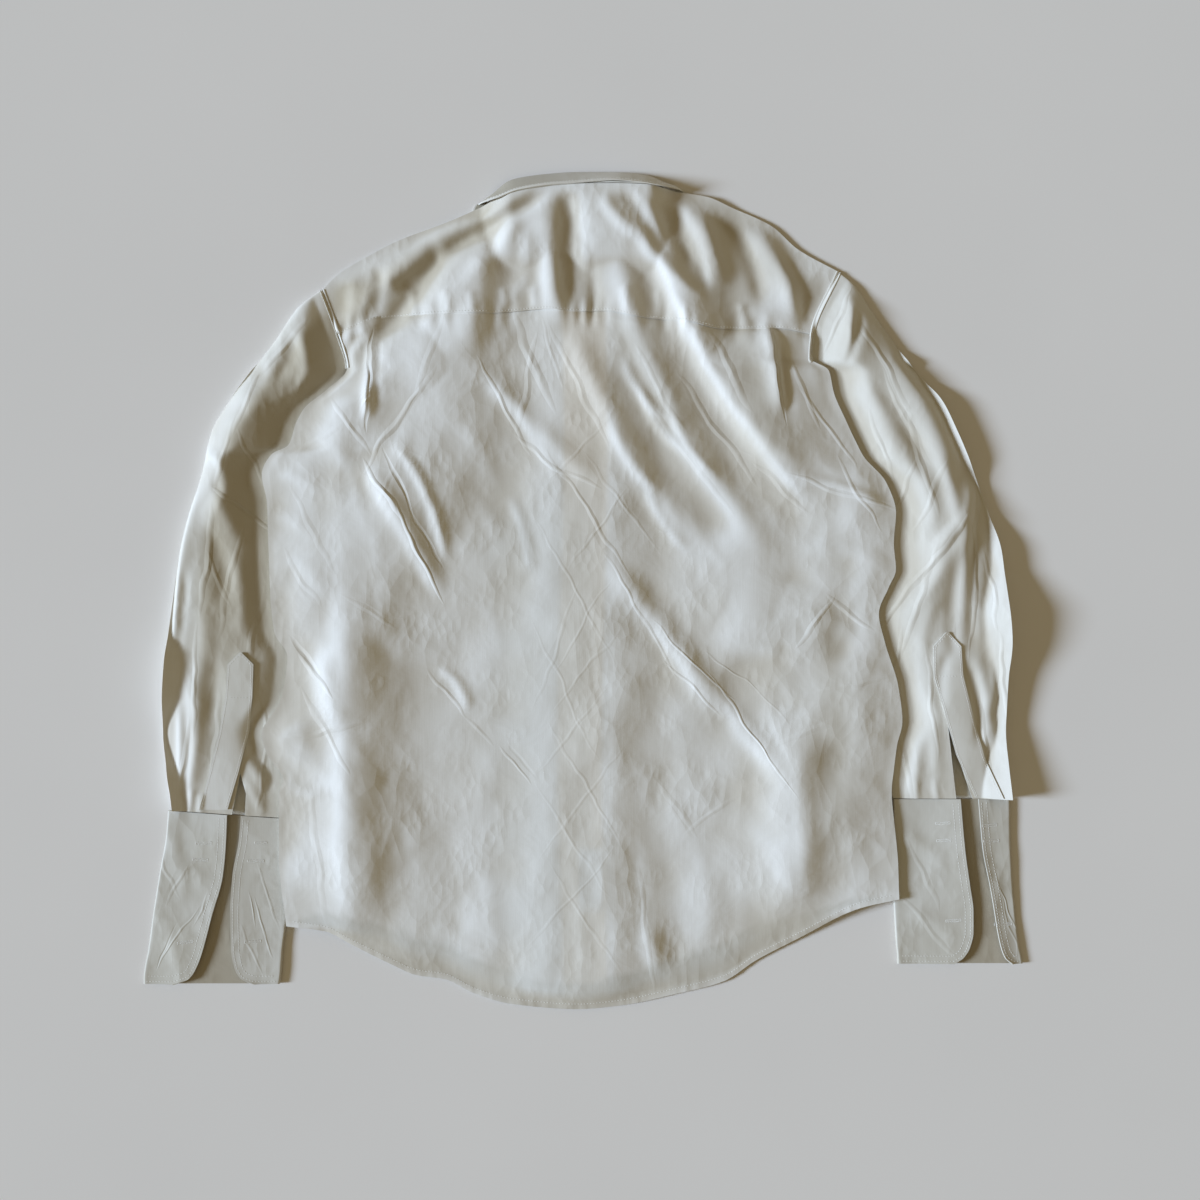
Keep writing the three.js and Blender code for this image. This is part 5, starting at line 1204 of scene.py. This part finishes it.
def sew_placket(name, sleeve, piece):
    """A row up one side and down the other, and a bar across."""
    left, right, y = (sleeve["placket"][column] for column in ("left", "right", "y"))
    sides = joined(left, y)[::-1], joined(right, y)
    bar = joined(mix(left[2], right[2], np.linspace(0.15, 0.85, 6)), y[2])
    rows = [stitches_along(inset(dense(side), -PLACKET_STITCH)) for side in sides] + [stitches_along(bar)]
    return sew(name, rows, [piece])


# ---- the pieces ----
back = make_back()
yoke = make_yoke()
front_left = make_front("front_left", -1, LEFT_FRONT_Z)
front_right = make_front("front_right", 1, RIGHT_FRONT_Z)
sleeve_left = make_sleeve("sleeve_left", LEFT_SLEEVE)
sleeve_right = make_sleeve("sleeve_right", RIGHT_SLEEVE)
placket_left = make_sleeve_placket("sleeve_placket_left", LEFT_SLEEVE)
placket_right = make_sleeve_placket("sleeve_placket_right", RIGHT_SLEEVE)
cuff_left = make_cuff("cuff_left", LEFT_CUFF)
cuff_right = make_cuff("cuff_right", RIGHT_CUFF)
collar = make_band("collar", COLLAR_LEAF, COLLAR_SAG, 0.8, 0.05)
collar_stand = make_band("collar_stand", COLLAR_STAND, 0.0, 0.3, 0.3)
front_placket = make_front_placket()
buttons = make_buttons(8)

armhole_left = make_armhole_seam("armhole_left", -1, [back, yoke, sleeve_left])
armhole_right = make_armhole_seam("armhole_right", 1, [back, yoke, sleeve_right])
seam_x = np.linspace(-224, 210, 300)
hem_x = np.linspace(-271, 290, 400)
body_rows = [
    stitches_along(joined(seam_x, yoke_seam(seam_x) + 1.8)),
    stitches_along(joined(hem_x, back_hem(hem_x) + HEM_WIDTH - 0.8)),
    stitches_along(inset(armhole_line(-1), -FELL_STITCH)),
    stitches_along(inset(armhole_line(1), FELL_STITCH)),
]
body_stitches = sew("body_stitches", body_rows, [back, yoke, armhole_left, armhole_right])
cuff_left_stitches = sew_cuff("cuff_left_stitches", LEFT_CUFF, cuff_left, LEFT_HOLES)
cuff_right_stitches = sew_cuff("cuff_right_stitches", RIGHT_CUFF, cuff_right, RIGHT_HOLES)
placket_left_stitches = sew_placket("placket_left_stitches", LEFT_SLEEVE, placket_left)
placket_right_stitches = sew_placket("placket_right_stitches", RIGHT_SLEEVE, placket_right)
leaf_line = band_points(COLLAR_LEAF, 200, 9, COLLAR_SAG)[60:140, 1, :2]   # the back part, near its edge
collar_stitches = sew("collar_stitches", [stitches_along(leaf_line)], [collar])

# the flat cut of each sheet: piece, (width, length), area in square metres, what it lies on, what is
# sewn to it
SHEETS = [
    (back, (0.63, 0.66), 0.37, [front_left, front_right], [armhole_left, armhole_right, body_stitches]),
    (yoke, (0.50, 0.14), 0.052, [front_left, front_right], []),
    (front_left, (0.33, 0.76), 0.20, ["floor"], [front_placket]),
    (front_right, (0.33, 0.76), 0.20, ["floor"], []),
    (sleeve_left, (0.27, 0.52), 0.120, ["floor"], [placket_left]),
    (sleeve_right, (0.27, 0.52), 0.120, ["floor"], [placket_right]),
    (placket_left, (0.028, 0.147), 0.0038, [sleeve_left], [placket_left_stitches]),
    (placket_right, (0.028, 0.155), 0.0038, [sleeve_right], [placket_right_stitches]),
    (cuff_left, (0.23, 0.165), 0.034, ["floor"], [cuff_left_stitches]),
    (cuff_right, (0.22, 0.155), 0.031, ["floor"], [cuff_right_stitches]),
    (collar, (0.45, 0.075), 0.016, [yoke], [collar_stitches]),
    (collar_stand, (0.40, 0.030), 0.0075, [yoke], []),
    (front_placket, (0.036, 0.67), 0.0235, ["floor"], buttons),
    (armhole_left, (0.010, 0.095), 0.0006, [sleeve_left], []),
    (armhole_right, (0.010, 0.095), 0.0006, [sleeve_right], []),
]

# ---- floor, light and camera ----
WINDOW_TRAVEL = (1.0, 0.06, -0.40)      # the light comes low from the left
WINDOW_STRENGTH = 4.6
WINDOW_COLOUR = (0.665, 0.80, 1.0)
ROOM_COLOUR = (1.0, 0.82, 0.50, 1.0)    # and a little of it back from the room, warm
ROOM_STRENGTH = 0.24
SUN_WIDTH = 14                          # degrees: soft shadows
FLOOR_SIZE, FLOOR_Z = 6.0, -0.0004
FRAME_POINTS, POINT_SIZE = 1200, 0.94
FRAME_WIDTH = FRAME_POINTS * POINT_SIZE * MM     # what the camera takes in across the floor
LENS, SENSOR = 50.0, 36.0
CAMERA_X, CAMERA_Y = 0.0163, -0.0090

bpy.ops.object.select_all(action="DESELECT")
bpy.ops.mesh.primitive_plane_add(size=FLOOR_SIZE, location=(0, 0, FLOOR_Z))
floor = bpy.context.active_object
floor.name = "floor"
floor.data.materials.append(make_plain("Floor", FLOOR_GREY, 0.9, 3.0, 0.0))
for piece, flat, area, rests_on, sewn in SHEETS:
    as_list(rests_on)
    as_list(sewn)

sun = bpy.data.lights.new("window", "SUN")
sun.energy = WINDOW_STRENGTH
sun.angle = math.radians(SUN_WIDTH)
sun.color = WINDOW_COLOUR
window = bpy.data.objects.new("window", sun)
bpy.context.scene.collection.objects.link(window)
window.rotation_euler = Vector(WINDOW_TRAVEL).to_track_quat("-Z", "Y").to_euler()
world = bpy.data.worlds.new("room")
bpy.context.scene.world = world
world.use_nodes = True
world.node_tree.nodes["Background"].inputs["Color"].default_value = ROOM_COLOUR
world.node_tree.nodes["Background"].inputs["Strength"].default_value = ROOM_STRENGTH

camera_data = bpy.data.cameras.new("camera")
camera_data.lens = LENS
camera_data.sensor_width = SENSOR
camera = bpy.data.objects.new("camera", camera_data)
bpy.context.scene.collection.objects.link(camera)
camera.location = (CAMERA_X, CAMERA_Y, FRAME_WIDTH * LENS / SENSOR)
bpy.context.scene.camera = camera
bpy.context.scene.view_settings.view_transform = "Standard"
